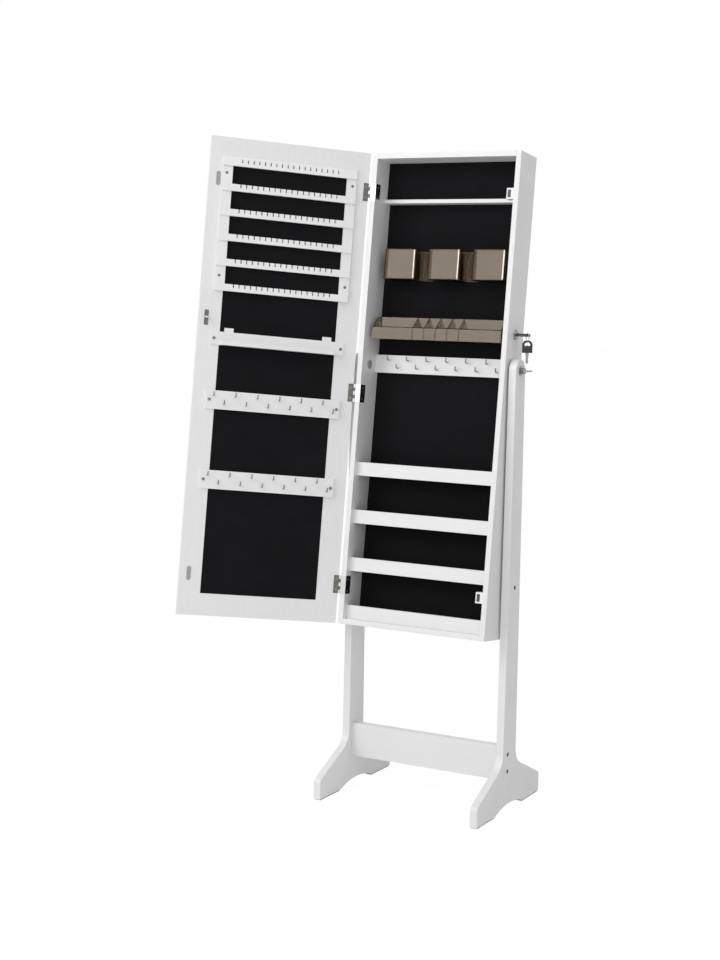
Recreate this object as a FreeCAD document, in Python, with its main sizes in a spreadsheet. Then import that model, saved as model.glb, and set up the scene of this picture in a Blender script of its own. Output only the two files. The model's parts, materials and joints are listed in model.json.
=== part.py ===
import FreeCAD, Part
import math
import os

import Sketcher

# Free-standing jewelry cabinet: a shallow lined box that tilts between two posts,
# with a mirror door that carries earring, ring and necklace holders on its inside.
# World frame: X to the right, Y to the back, Z up, origin on the floor under the pivot.
# Cabinet frame: X across, Y from the front edge inwards, Z up from the bottom edge.
# Door frame: X from the hinge axis along the door, Y towards the inside, Z up.

SIZES = {
    # stand
    "post_gap": 4.0,
    "post_thickness": 18.0,
    "post_top_radius": 24.6,
    "post_neck_half": 34.2,
    "neck_height": 107.0,
    "neck_round": 45.0,
    "seam_height": 105.0,
    "pivot_height": 971.7,
    "foot_front_reach": 163.0,
    "foot_rear_reach": 172.0,
    "foot_nose_height": 46.0,
    "nose_round": 12.0,
    "board_round": 1.6,
    "arch_half_span": 76.0,
    "arch_rise": 14.0,
    "glide_thickness": 2.0,
    "glide_inset": 4.0,
    "crossbar_thickness": 18.0,
    "crossbar_offset": 10.0,
    "crossbar_height": 77.2,
    "crossbar_bottom": 70.9,
    "rail_thickness": 12.0,
    "rail_height": 40.0,
    "rail_middle": 499.0,
    "rail_clearance": 0.3,
    "bolt_radius": 3.0,
    "bolt_reach": 32.0,
    "bolt_head_radius": 4.8,
    "bolt_head_depth": 5.0,
    "bolt_spread": 19.1,
    "socket_radius": 2.6,
    "socket_depth": 3.0,
    "nut_radius": 5.0,
    "nut_length": 10.0,
    "nut_inset": 24.0,
    "dowel_radius": 4.0,
    "dowel_half_length": 18.0,
    "dowel_spread": 20.0,
    "hole_clearance": 0.05,
    # pivot
    "pivot_radius": 4.0,
    "spacer_radius": 13.0,
    "spacer_clearance": 0.3,
    "washer_radius": 11.0,
    "washer_thickness": 1.5,
    "wing_clearance": 0.3,
    "wing_boss_radius": 6.5,
    "wing_boss_length": 8.0,
    "wing_span_half": 14.0,
    "wing_reach": 16.0,
    "wing_thickness": 3.0,
    "wing_round": 3.0,
    "insert_radius": 6.0,
    "insert_flange_radius": 10.0,
    "insert_flange_thickness": 1.2,
    # cabinet box
    "cabinet_width": 360.0,
    "cabinet_height": 1054.0,
    "cabinet_depth": 84.0,
    "panel_thickness": 12.0,
    "pivot_setback": 35.1,
    "pivot_rise": 585.0,
    "tilt_angle": 6.8,
    "back_thickness": 3.0,
    "lining_thickness": 6.4,
    "top_shelf_front": 50.0,
    "top_shelf_drop": 103.3,
    "top_shelf_thickness": 8.5,
    "upper_lining_front": 59.0,
    "shelf_pitch": 107.2,
    "shelf_thickness": 8.0,
    "shelf_rail_height": 30.4,
    "shelf_rail_thickness": 9.0,
    "shelf_rail_front": 15.0,
    # hook strips
    "strip_thickness": 11.0,
    "strip_height": 40.0,
    "cabinet_strip_drop": 484.2,
    "cabinet_hook_end": 33.8,
    "door_hook_end": 16.1,
    "hook_row_half": 8.8,
    "hook_radius": 1.3,
    "hook_reach": 11.0,
    "hook_bend": 3.0,
    "hook_rise": 6.0,
    "hook_root": 6.0,
    # smoky organisers
    "organiser_wall": 2.0,
    "cup_front": 29.0,
    "cup_side_gap": 11.0,
    "cup_gap": 29.0,
    "cup_drop": 275.5,
    "cup_height": 67.0,
    "cup_round": 7.0,
    "cup_flange": 8.0,
    "tray_front": 15.0,
    "tray_side_gap": 10.5,
    "tray_step": 25.0,
    "tray_drop": 412.0,
    "tray_front_height": 26.0,
    "tray_back_height": 51.0,
    "tray_slot_pitch": 28.3,
    # catches and lock
    "catch_width": 17.0,
    "catch_depth": 19.0,
    "catch_height": 24.0,
    "catch_front": 2.0,
    "catch_end_inset": 92.0,
    "magnet_inset": 10.5,
    "magnet_width": 7.0,
    "magnet_height": 16.0,
    "magnet_depth": 12.0,
    "lock_setback": 41.0,
    "lock_above_pivot": 77.5,
    "lock_barrel_radius": 8.5,
    "lock_rose_radius": 11.5,
    "lock_rose_thickness": 3.0,
    "lock_barrel_inside": 6.0,
    "plug_radius": 5.5,
    "cam_thickness": 2.0,
    "cam_hub_radius": 8.0,
    "cam_arm_half": 4.0,
    "cam_hook_depth": 3.0,
    "cam_hook_angle": 15.0,
    "key_blade_width": 7.4,
    "key_blade_thickness": 2.0,
    "key_blade_length": 20.0,
    "key_shoulder": 4.0,
    "key_bow_length": 26.5,
    "key_bow_width": 22.0,
    "key_bow_thickness": 5.0,
    "key_bow_round": 9.0,
    "key_hole_inset": 6.7,
    "key_hole_radius": 3.7,
    "key_lobe_radius": 3.2,
    "key_lobe_spread": 3.2,
    "key_lobe_drop": 1.9,
    "ring_radius": 10.0,
    "ring_wire": 0.7,
    "ring_slack": 0.8,
    "ring_turn": 50.0,
    "spare_key_turn": 61.0,
    # door
    "door_reveal": 2.0,
    "door_thickness": 16.0,
    "door_angle": 139.3,
    "door_gap": 2.4,
    "window_margin": 49.0,
    "mirror_margin": 20.0,
    "mirror_thickness": 4.0,
    "mirror_backing": 3.0,
    "velvet_recess": 1.5,
    "fit_clearance": 0.2,
    # earring ladder
    "ladder_margin": 28.7,
    "ladder_drop": 337.5,
    "ladder_pitch": 55.0,
    "ladder_rung": 15.4,
    "ladder_head": 20.5,
    "ladder_thick": 7.0,
    "ladder_thin": 3.5,
    "ladder_stile": 22.3,
    "ladder_slot_width": 1.8,
    "ladder_slot_depth": 8.0,
    "ladder_slot_end": 20.05,
    # ring ledge
    "ledge_margin": 29.2,
    "ledge_drop": 457.0,
    "ledge_back_height": 29.5,
    "ledge_wall": 2.6,
    "ledge_depth": 20.0,
    "ledge_lip": 8.0,
    "ledge_ear": 24.0,
    "ledge_tab_width": 20.5,
    "ledge_tab_rise": 9.0,
    "ledge_tab_inset": 39.8,
    # door hook strips
    "door_strip_margin": 28.7,
    "door_strip_height": 41.0,
    "door_strip_thickness": 5.0,
    "upper_strip_drop": 598.0,
    "lower_strip_drop": 773.7,
    # door furniture
    "strike_width": 9.0,
    "strike_height": 31.0,
    "strike_thickness": 1.0,
    "keeper_height": 33.0,
    "keeper_width": 9.0,
    "keeper_plate": 1.0,
    "keeper_bar": 2.0,
    "keeper_bar_height": 4.0,
    "keeper_leg": 1.5,
    "keeper_slack": 0.8,
    # hinges
    "hinge_height": 40.0,
    "knuckle_radius": 2.2,
    "knuckle_clearance": 0.2,
    "hinge_pin_radius": 1.1,
    "leaf_thickness": 1.0,
    "door_leaf_width": 13.5,
    "inner_leaf_depth": 21.0,
    "hinge_end_inset": 87.3,
    "middle_hinge_drop": 10.0,
    # screws
    "screw_radius": 1.5,
    "screw_head_radius": 3.4,
    "screw_head_height": 1.6,
    "screw_skin": 2.0,
    "screw_seat": 2.6,
    "ladder_screw_inset": 9.0,
    "ladder_screw_rise": 33.0,
    "ladder_screw_spread": 226.0,
    "ledge_screw_inset": 7.5,
    "strip_screw_inset": 7.5,
}

LADDER_WINDOWS = 5
LADDER_SLOTS = 18
HOOKS_PER_STRIP = 12
TRAY_DIVIDERS = 5
SHELF_COUNT = 3
CUP_COUNT = 3
KNUCKLES = 5

V = FreeCAD.Vector
doc = FreeCAD.newDocument("JewelryCabinet")
sheet = doc.addObject("Spreadsheet::Sheet", "Sizes")
for row, (alias, value) in enumerate(SIZES.items(), start=1):
    sheet.set(f"A{row}", alias)
    sheet.set(f"B{row}", str(value))
    sheet.setAlias(f"B{row}", alias)
doc.recompute()


class Dim:
    """A length that knows its number and the sheet expression that gives it."""

    def __init__(self, text, number):
        self.text = text
        self.number = number

    def __add__(self, other):
        other = dim(other)
        return Dim(f"({self.text} + {other.text})", self.number + other.number)

    def __sub__(self, other):
        other = dim(other)
        return Dim(f"({self.text} - {other.text})", self.number - other.number)

    def __mul__(self, other):
        other = dim(other)
        return Dim(f"({self.text} * {other.text})", self.number * other.number)

    def __truediv__(self, other):
        other = dim(other)
        return Dim(f"({self.text} / {other.text})", self.number / other.number)

    def __radd__(self, other):
        return dim(other) + self

    def __rsub__(self, other):
        return dim(other) - self

    def __rmul__(self, other):
        return dim(other) * self

    def __neg__(self):
        return Dim(f"(0 - {self.text})", -self.number)


def dim(thing):
    """Take a plain number or a Dim and give a Dim."""
    if isinstance(thing, Dim):
        return thing
    return Dim(repr(float(thing)), float(thing))


class Sizes:
    """The sheet's cells as Dim attributes."""

    def __getattr__(self, alias):
        return Dim(f"Sizes.{alias}", float(getattr(sheet, alias)))


S = Sizes()
PIECES = []


def bind(thing, prop, length):
    """Bind a property to the sheet."""
    length = dim(length)
    thing.setExpression(prop, length.text)


def put(thing, at, turn=None):
    """Place a solid in its piece's own frame."""
    if turn:
        thing.Placement = FreeCAD.Placement(V(), FreeCAD.Rotation(*turn))
    for axis, length in zip("xyz", at):
        bind(thing, f"Placement.Base.{axis}", length)
    return thing


def box(extent, at):
    """A block from its lowest corner."""
    solid = doc.addObject("Part::Box", "block")
    for prop, length in zip(("Length", "Width", "Height"), extent):
        bind(solid, prop, length)
    return put(solid, at)


TURNS = {"X": (V(0, 1, 0), 90), "Y": (V(1, 0, 0), -90), "Z": None}


def rod(radius, length, at, along="Z"):
    """A round bar from the middle of its first end."""
    solid = doc.addObject("Part::Cylinder", "rod")
    bind(solid, "Radius", radius)
    bind(solid, "Height", length)
    return put(solid, at, TURNS[along])


def several(kind, solids):
    """Join solids in one feature, or give back the only one."""
    if len(solids) == 1:
        return solids[0]
    joined = doc.addObject(kind, "joined")
    if kind == "Part::Compound":
        joined.Links = solids
    else:
        joined.Shapes = solids
    return joined


def fuse(solids):
    return several("Part::MultiFuse", solids)


def bundle(solids):
    return several("Part::Compound", solids)


def cut(base, tools):
    """Take the tools, which stay clear of each other, out of the base."""
    result = doc.addObject("Part::Cut", "cut")
    result.Base = base
    result.Tool = bundle(tools)
    return result


def piece(label, frame, thing):
    """Give a finished sub-part its name and its frame."""
    if thing.TypeId in ("Part::Box", "Part::Cylinder", "Part::Torus"):
        holder = doc.addObject("Part::Compound", "holder")
        holder.Links = [thing]
        thing = holder
    thing.Label = label
    thing.Placement = frame
    PIECES.append(thing)
    return thing


def mirrored(label, source):
    """The same sub-part on the other side."""
    twin = doc.addObject("Part::Mirroring", "twin")
    twin.Source = source
    twin.Normal = V(1, 0, 0)
    return piece(label, FreeCAD.Placement(), twin)


def sketch_in(body, role, lift=0.0):
    """A sketch on one of the body's own planes, lifted along the plane's normal."""
    sketch = body.newObject("Sketcher::SketchObject", "outline")
    plane = next(item for item in body.Origin.OriginFeatures if item.Role == role)
    sketch.AttachmentSupport = (plane, [""])
    sketch.MapMode = "FlatFace"
    bind(sketch, "AttachmentOffset.Base.z", lift)
    return sketch


def hold(sketch, geometry, point, x, y):
    """Fix a point of the sketch at sheet distances from its origin."""
    for kind, length in (("DistanceX", x), ("DistanceY", y)):
        length = dim(length)
        index = sketch.addConstraint(Sketcher.Constraint(kind, -1, 1, geometry, point, length.number))
        sketch.setExpression(f"Constraints[{index}]", length.text)


def outline(sketch, corners, arcs=None):
    """Draw a closed outline; arcs gives the middle of the round side after a corner."""
    arcs = arcs or {}
    first = sketch.GeometryCount
    count = len(corners)
    for i, (x, y) in enumerate(corners):
        start = V(dim(x).number, dim(y).number, 0)
        nxt = corners[(i + 1) % count]
        end = V(dim(nxt[0]).number, dim(nxt[1]).number, 0)
        if i in arcs:
            middle = V(dim(arcs[i][0]).number, dim(arcs[i][1]).number, 0)
            circle = Part.Circle(middle, V(0, 0, 1), (start - middle).Length)
            a = math.atan2(start.y - middle.y, start.x - middle.x)
            b = math.atan2(end.y - middle.y, end.x - middle.x)
            sketch.addGeometry(Part.ArcOfCircle(circle, a, b if b > a else b + 2 * math.pi))
        else:
            sketch.addGeometry(Part.LineSegment(start, end))
    for i, (x, y) in enumerate(corners):
        sketch.addConstraint(Sketcher.Constraint("Coincident", first + i - 1 if i else first + count - 1, 2,
                                                 first + i, 1))
    for i, (x, y) in enumerate(corners):
        hold(sketch, first + i, 1, x, y)
    for i, (x, y) in arcs.items():
        index = sketch.addConstraint(Sketcher.Constraint("DistanceY", -1, 1, first + i, 3, dim(y).number))
        sketch.setExpression(f"Constraints[{index}]", dim(y).text)


def padded_outline(name, role, corners, length, lift=0.0, arcs=None, rounds=None):
    """A body padded from an outline, with some of its corners rounded."""
    body = doc.addObject("PartDesign::Body", name)
    sketch = sketch_in(body, role, lift)
    outline(sketch, corners, arcs)
    pad = body.newObject("PartDesign::Pad", "pad")
    pad.Profile = sketch
    bind(pad, "Length", length)
    doc.recompute()
    for radius, chosen in rounds or []:
        round_corners(body, sketch, chosen, radius)
    return body


def round_corners(body, sketch, chosen, radius):
    """Round the pad's edges that stand on the chosen corners of its outline."""
    tip = body.Tip
    to_body = sketch.Placement
    normal = to_body.Rotation.multVec(V(0, 0, 1))
    spots = [to_body.multVec(sketch.Geometry[i].StartPoint) for i in chosen]
    names = []
    for number, edge in enumerate(tip.Shape.Edges, start=1):
        ends = [vertex.Point for vertex in edge.Vertexes]
        if len(ends) == 2 and any(all(on_line(end, spot, normal) for end in ends) for spot in spots):
            names.append(f"Edge{number}")
    add_fillet(body, names, radius)


def on_line(point, spot, normal):
    away = point - spot
    return (away - normal * away.dot(normal)).Length < 1e-4


def add_fillet(body, names, radius):
    tip = body.Tip
    fillet = body.newObject("PartDesign::Fillet", "round")
    fillet.Base = (tip, names)
    bind(fillet, "Radius", radius)
    doc.recompute()


def round_rims(body, direction, radius):
    """Round the rims of the body's two flat sides that face along a direction."""
    names = []
    for number, edge in enumerate(body.Tip.Shape.Edges, start=1):
        middle = edge.tangentAt((edge.FirstParameter + edge.LastParameter) / 2)
        first = edge.tangentAt(edge.FirstParameter)
        if abs(middle.dot(direction)) < 1e-6 and abs(first.dot(direction)) < 1e-6:
            names.append(f"Edge{number}")
    add_fillet(body, names, radius)


WORLD = FreeCAD.Placement()
LEANING = FreeCAD.Rotation(V(1, 0, 0), -S.tilt_angle.number)
CABINET = FreeCAD.Placement(V(0, 0, S.pivot_height.number), LEANING)
CABINET = CABINET * FreeCAD.Placement(V(0, -S.pivot_setback.number, -S.pivot_rise.number), FreeCAD.Rotation())
HALF = S.cabinet_width / 2
HINGE_OFFSET = S.knuckle_radius + S.knuckle_clearance
DOOR = CABINET * FreeCAD.Placement(
    V(-(HALF + HINGE_OFFSET).number, -(S.door_gap / 2).number, 0),
    FreeCAD.Rotation(V(0, 0, 1), -S.door_angle.number))
INNER = HALF - S.panel_thickness
LINING = S.cabinet_depth - S.back_thickness - S.lining_thickness
POST_IN = HALF + S.post_gap
POST_OUT = POST_IN + S.post_thickness
# what hangs near the top keeps its drop from the top, and the shelves stand on the bottom
TOP_SHELF_BOTTOM = S.cabinet_height - S.top_shelf_drop
CABINET_STRIP_BOTTOM = S.cabinet_height - S.cabinet_strip_drop
CUP_BOTTOM = S.cabinet_height - S.cup_drop
CUP_SPAN = 2 * (INNER - S.cup_side_gap)
CUP_WIDTH = (CUP_SPAN - 2 * S.cup_flange - (CUP_COUNT - 1) * S.cup_gap) / CUP_COUNT
TRAY_BOTTOM = S.cabinet_height - S.tray_drop
TRAY_WIDTH = 2 * (INNER - S.tray_side_gap)
CATCH_MIDDLES = (S.cabinet_height - S.catch_end_inset, S.catch_end_inset)
HINGE_MIDDLES = (
    S.cabinet_height - S.hinge_end_inset,
    S.cabinet_height / 2 - S.middle_hinge_drop,
    S.hinge_end_inset,
)
LOCK_RISE = S.pivot_rise + S.lock_above_pivot
DOOR_WIDTH = S.cabinet_width - S.door_reveal
LADDER_WIDTH = DOOR_WIDTH - 2 * S.ladder_margin
LADDER_BOTTOM = S.cabinet_height - S.ladder_drop
LEDGE_WIDTH = DOOR_WIDTH - 2 * S.ledge_margin
LEDGE_BOTTOM = S.cabinet_height - S.ledge_drop
DOOR_STRIP_WIDTH = DOOR_WIDTH - 2 * S.door_strip_margin
UPPER_STRIP_BOTTOM = S.cabinet_height - S.upper_strip_drop
LOWER_STRIP_BOTTOM = S.cabinet_height - S.lower_strip_drop
SCREW_LENGTH = S.door_thickness - S.mirror_thickness - S.mirror_backing - S.screw_skin


# Stand: each side is one outline, sawn at the seam into a post and a foot
def side_boards():
    corners = [
        (-S.foot_front_reach, S.glide_thickness),
        (S.foot_rear_reach, S.glide_thickness),
        (S.foot_rear_reach, S.foot_nose_height),
        (S.post_neck_half, S.neck_height),
        (S.post_top_radius, S.pivot_height),
        (-S.post_top_radius, S.pivot_height),
        (-S.post_neck_half, S.neck_height),
        (-S.foot_front_reach, S.foot_nose_height),
    ]
    side = padded_outline("side", "YZ_Plane", corners, S.post_thickness, POST_IN,
                          arcs={4: (0.0, S.pivot_height)},
                          rounds=[(S.neck_round, (3, 6)), (S.nose_round, (2, 7))])
    round_rims(side, V(1, 0, 0), S.board_round)
    reach = S.foot_front_reach + S.foot_rear_reach
    low = box((S.post_thickness, reach, S.seam_height), (POST_IN, -S.foot_front_reach, 0))
    high = box((S.post_thickness, reach, S.pivot_height), (POST_IN, -S.foot_front_reach, S.seam_height))
    post = doc.addObject("Part::Common", "post")
    post.Base = side
    post.Tool = high
    foot = doc.addObject("Part::Common", "foot")
    foot.Base = side
    foot.Tool = low
    return post, foot


BOLT_Y = -S.crossbar_offset
BOLT_MIDDLE = S.crossbar_bottom + S.crossbar_height / 2
TILT = math.radians(S.tilt_angle.number)
RAIL_TOP = (S.rail_middle + S.rail_height / 2).number
BACK_Y = (S.cabinet_depth - S.pivot_setback).number
BACK_AT_RAIL = BACK_Y / math.cos(TILT) + (RAIL_TOP - S.pivot_height.number) * math.tan(TILT)
RAIL_FRONT = BACK_AT_RAIL + S.rail_clearance
RAIL_Y = RAIL_FRONT + S.rail_thickness / 2
BOLT_SPOTS = [
    (BOLT_Y, BOLT_MIDDLE + S.bolt_spread),
    (BOLT_Y, BOLT_MIDDLE - S.bolt_spread),
    (RAIL_Y, dim(S.rail_middle)),
]


def bolt_hole(spot, spare):
    """The stepped hole of one stand bolt, or with no spare the bolt itself."""
    y, z = spot
    head = rod(S.bolt_head_radius + spare, S.bolt_head_depth, (POST_OUT - S.bolt_head_depth, y, z), "X")
    length = S.post_thickness - S.bolt_head_depth + S.bolt_reach
    shank = rod(S.bolt_radius + spare, length, (POST_IN - S.bolt_reach, y, z), "X")
    return fuse([head, shank])


def stand_bolt(spot):
    socket = doc.addObject("Part::Prism", "socket")
    socket.Polygon = 6
    bind(socket, "Circumradius", S.socket_radius)
    bind(socket, "Height", S.socket_depth)
    put(socket, (POST_OUT - S.socket_depth, spot[0], spot[1]), TURNS["X"])
    return cut(bolt_hole(spot, 0.0), [socket])


def barrel_nut(spot, spare):
    x = POST_IN - S.nut_inset
    start = spot[0] - S.nut_length / 2
    return rod(S.nut_radius + spare, S.nut_length, (x, start, spot[1]), "Y")


def both_sides(solids):
    """The solids and their mirror images, as one list."""
    twins = []
    for solid in solids:
        twin = doc.addObject("Part::Mirroring", "twin")
        twin.Source = solid
        twin.Normal = V(1, 0, 0)
        twins.append(twin)
    return list(solids) + twins


def dowel(y, spare):
    x = POST_IN + S.post_thickness / 2
    length = 2 * S.dowel_half_length
    return rod(S.dowel_radius + spare, length, (x, y, S.seam_height - S.dowel_half_length))


def build_stand():
    post, foot = side_boards()
    clear = S.hole_clearance
    dowel_spots = (S.dowel_spread, -S.dowel_spread)
    pivot_hole = rod(S.pivot_radius + clear, S.post_thickness, (POST_IN, 0, S.pivot_height), "X")
    post_holes = [bolt_hole(BOLT_SPOTS[0], clear), bolt_hole(BOLT_SPOTS[2], clear), pivot_hole]
    right_post = cut(post, post_holes + [dowel(y, clear) for y in dowel_spots])
    mirrored("left_post", piece("right_post", WORLD, right_post))
    arch_radius = (S.arch_half_span * S.arch_half_span + S.arch_rise * S.arch_rise) / (2 * S.arch_rise)
    arch_middle = (S.foot_rear_reach - S.foot_front_reach) / 2
    arch_z = S.glide_thickness + S.arch_rise - arch_radius
    arch = rod(arch_radius, S.post_thickness, (POST_IN, arch_middle, arch_z), "X")
    right_foot = cut(foot, [bolt_hole(BOLT_SPOTS[1], clear), arch] + [dowel(y, clear) for y in dowel_spots])
    mirrored("left_foot", piece("right_foot", WORLD, right_foot))
    piece("foot_dowels", WORLD, bundle(both_sides([dowel(y, 0.0) for y in dowel_spots])))

    glide_width = S.post_thickness - 2 * S.board_round
    glide_x = POST_IN + S.board_round
    front_start = -S.foot_front_reach + S.glide_inset
    rear_start = arch_middle + S.arch_half_span
    front = box((glide_width, arch_middle - S.arch_half_span - front_start, S.glide_thickness),
                (glide_x, front_start, 0))
    rear = box((glide_width, S.foot_rear_reach - S.glide_inset - rear_start, S.glide_thickness),
               (glide_x, rear_start, 0))
    piece("foot_glides", WORLD, bundle(both_sides([front, rear])))

    nuts = [cut(barrel_nut(spot, 0.0), [bolt_hole(spot, clear)]) for spot in BOLT_SPOTS]
    piece("barrel_nuts", WORLD, bundle(both_sides(nuts)))
    piece("stand_bolts", WORLD, bundle(both_sides([stand_bolt(spot) for spot in BOLT_SPOTS])))

    bar = box((2 * POST_IN, S.crossbar_thickness, S.crossbar_height),
              (-POST_IN, BOLT_Y - S.crossbar_thickness / 2, S.crossbar_bottom))
    bar_holes = [fuse([bolt_hole(spot, clear), barrel_nut(spot, clear)]) for spot in BOLT_SPOTS[:2]]
    piece("lower_crossbar", WORLD, cut(bar, both_sides(bar_holes)))
    rail = box((2 * POST_IN, S.rail_thickness, S.rail_height),
               (-POST_IN, RAIL_FRONT, S.rail_middle - S.rail_height / 2))
    rail_hole = fuse([bolt_hole(BOLT_SPOTS[2], clear), barrel_nut(BOLT_SPOTS[2], clear)])
    piece("rear_rail", WORLD, cut(rail, both_sides([rail_hole])))


# Pivot: wing bolts run through the posts into threaded inserts in the cabinet sides
def build_pivot():
    z = S.pivot_height
    clear = S.hole_clearance
    spacer = rod(S.spacer_radius, S.post_gap - S.spacer_clearance, (HALF + S.spacer_clearance, 0, z), "X")
    spacer_hole = rod(S.pivot_radius + clear, S.post_gap, (HALF, 0, z), "X")
    piece("pivot_spacers", WORLD, bundle(both_sides([cut(spacer, [spacer_hole])])))
    washer = rod(S.washer_radius, S.washer_thickness, (POST_OUT, 0, z), "X")
    washer_hole = rod(S.pivot_radius + clear, S.washer_thickness, (POST_OUT, 0, z), "X")
    piece("wing_washers", WORLD, bundle(both_sides([cut(washer, [washer_hole])])))

    boss_start = POST_OUT + S.washer_thickness + S.wing_clearance
    shaft = rod(S.pivot_radius, boss_start - INNER, (INNER, 0, z), "X")
    boss = rod(S.wing_boss_radius, S.wing_boss_length, (boss_start, 0, z), "X")
    root = boss_start + S.wing_boss_length / 2
    tip = root + S.wing_reach
    notch = root + S.wing_reach / 2
    corners = [
        (root, -S.wing_boss_radius),
        (root + S.wing_reach / 3, -S.wing_span_half),
        (tip, -S.wing_span_half),
        (tip, -S.wing_span_half / 2),
        (notch, 0.0),
        (tip, S.wing_span_half / 2),
        (tip, S.wing_span_half),
        (root + S.wing_reach / 3, S.wing_span_half),
        (root, S.wing_boss_radius),
    ]
    wings = padded_outline("wings", "XY_Plane", corners, S.wing_thickness, z - S.wing_thickness / 2,
                           rounds=[(S.wing_round, (1, 2, 3, 5, 6, 7))])
    mirrored("left_wing_bolt", piece("right_wing_bolt", WORLD, fuse([shaft, boss, wings])))


# Cabinet box and its lining
def pivot_insert(spare):
    return rod(S.insert_radius + spare, S.panel_thickness, (INNER, S.pivot_setback, S.pivot_rise), "X")


def build_box():
    clear = S.hole_clearance
    side = box((S.panel_thickness, S.cabinet_depth, S.cabinet_height), (INNER, 0, 0))
    lock_hole = rod(S.lock_barrel_radius + clear, S.panel_thickness, (INNER, S.lock_setback, LOCK_RISE), "X")
    piece("right_side_panel", CABINET, cut(side, [pivot_insert(clear), lock_hole]))
    plain = box((S.panel_thickness, S.cabinet_depth, S.cabinet_height), (-HALF, 0, 0))
    left_hole = rod(S.insert_radius + clear, S.panel_thickness, (-HALF, S.pivot_setback, S.pivot_rise), "X")
    piece("left_side_panel", CABINET, cut(plain, [left_hole]))

    bore = rod(S.pivot_radius + clear, S.panel_thickness + S.insert_flange_thickness,
               (INNER - S.insert_flange_thickness, S.pivot_setback, S.pivot_rise), "X")
    flange = rod(S.insert_flange_radius, S.insert_flange_thickness,
                 (INNER - S.insert_flange_thickness, S.pivot_setback, S.pivot_rise), "X")
    insert = cut(fuse([pivot_insert(0.0), flange]), [bore])
    piece("pivot_inserts", CABINET, bundle(both_sides([insert])))

    flat = (2 * INNER, S.cabinet_depth, S.panel_thickness)
    piece("top_panel", CABINET, box(flat, (-INNER, 0, S.cabinet_height - S.panel_thickness)))
    piece("bottom_panel", CABINET, box(flat, (-INNER, 0, 0)))
    clear_height = S.cabinet_height - 2 * S.panel_thickness
    back_front = S.cabinet_depth - S.back_thickness
    piece("back_panel", CABINET, box((2 * INNER, S.back_thickness, clear_height),
                                     (-INNER, back_front, S.panel_thickness)))
    piece("back_lining", CABINET, box((2 * INNER, S.lining_thickness, clear_height),
                                      (-INNER, LINING, S.panel_thickness)))
    shelf_top = TOP_SHELF_BOTTOM + S.top_shelf_thickness
    piece("top_shelf", CABINET, box((2 * INNER, LINING - S.top_shelf_front, S.top_shelf_thickness),
                                    (-INNER, S.top_shelf_front, TOP_SHELF_BOTTOM)))
    upper_height = S.cabinet_height - S.panel_thickness - shelf_top
    piece("upper_lining", CABINET, box((2 * INNER, LINING - S.upper_lining_front, upper_height),
                                       (-INNER, S.upper_lining_front, shelf_top)))
    rail = (2 * INNER, S.shelf_rail_thickness, S.shelf_rail_height)
    piece("bottom_rail", CABINET, box(rail, (-INNER, S.shelf_rail_front, S.panel_thickness)))
    board_front = S.shelf_rail_front + S.shelf_rail_thickness
    for number in range(1, SHELF_COUNT + 1):
        level = S.panel_thickness + number * S.shelf_pitch
        piece(f"shelf_rail_{number}", CABINET, box(rail, (-INNER, S.shelf_rail_front, level)))
        board = (2 * INNER, LINING - board_front, S.shelf_thickness)
        piece(f"shelf_{number}", CABINET, box(board, (-INNER, board_front, level)))


# Hooks: a bent wire that stands out of its strip and turns up
def hook(x, face, z, way, sunk):
    """One hook at a strip's face; way is -1 towards the front, +1 towards the inside."""
    out = S.hook_reach - S.hook_bend
    root = face - sunk if way > 0 else face - out
    shank = rod(S.hook_radius, sunk + out, (x, root, z), "Y")
    end = face + way * out
    bend = doc.addObject("Part::Torus", "bend")
    bind(bend, "Radius1", S.hook_bend)
    bind(bend, "Radius2", S.hook_radius)
    bend.Angle3 = 90
    if way > 0:
        turned = FreeCAD.Rotation(V(0, 0, 1), 90) * FreeCAD.Rotation(V(1, 0, 0), 90)
        turned = turned * FreeCAD.Rotation(V(0, 0, 1), -90)
    else:
        turned = FreeCAD.Rotation(V(0, 0, 1), -90) * FreeCAD.Rotation(V(1, 0, 0), 90)
        turned = turned * FreeCAD.Rotation(V(0, 0, 1), -90)
    bend.Placement = FreeCAD.Placement(V(), turned)
    put(bend, (x, end, z + S.hook_bend))
    tip = rod(S.hook_radius, S.hook_rise, (x, end + way * S.hook_bend, z + S.hook_bend))
    return fuse([shank, bend, tip])


def hook_spots(start_x, span, middle_z, first_up):
    """The places of a strip's hooks, in two staggered rows."""
    spots = []
    for i in range(HOOKS_PER_STRIP):
        x = start_x + span * (i / (HOOKS_PER_STRIP - 1))
        up = (i % 2 == 0) == first_up
        z = middle_z + S.hook_row_half if up else middle_z - S.hook_row_half
        spots.append((x, z))
    return spots


def build_cabinet_hooks():
    face = LINING - S.strip_thickness
    middle = CABINET_STRIP_BOTTOM + S.strip_height / 2
    strip = box((2 * INNER, S.strip_thickness, S.strip_height), (-INNER, face, CABINET_STRIP_BOTTOM))
    start_x = S.cabinet_hook_end - INNER
    spots = hook_spots(start_x, -2 * start_x, middle, True)
    holes = [rod(S.hook_radius + S.hole_clearance, S.hook_root, (x, face, z), "Y") for x, z in spots]
    piece("cabinet_hook_strip", CABINET, cut(strip, holes))
    piece("cabinet_hooks", CABINET, bundle([hook(x, face, z, -1, S.hook_root) for x, z in spots]))


# Smoky organisers
def cup_tub(x, inset, floor):
    """A rounded cup body, or its inside when inset by the wall."""
    corners = [
        (x - CUP_WIDTH / 2 + inset, S.cup_front + inset),
        (x + CUP_WIDTH / 2 - inset, S.cup_front + inset),
        (x + CUP_WIDTH / 2 - inset, LINING - inset),
        (x - CUP_WIDTH / 2 + inset, LINING - inset),
    ]
    return padded_outline("cup", "XY_Plane", corners, S.cup_height - floor, CUP_BOTTOM + floor,
                          rounds=[(S.cup_round - inset, (0, 1))])


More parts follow.
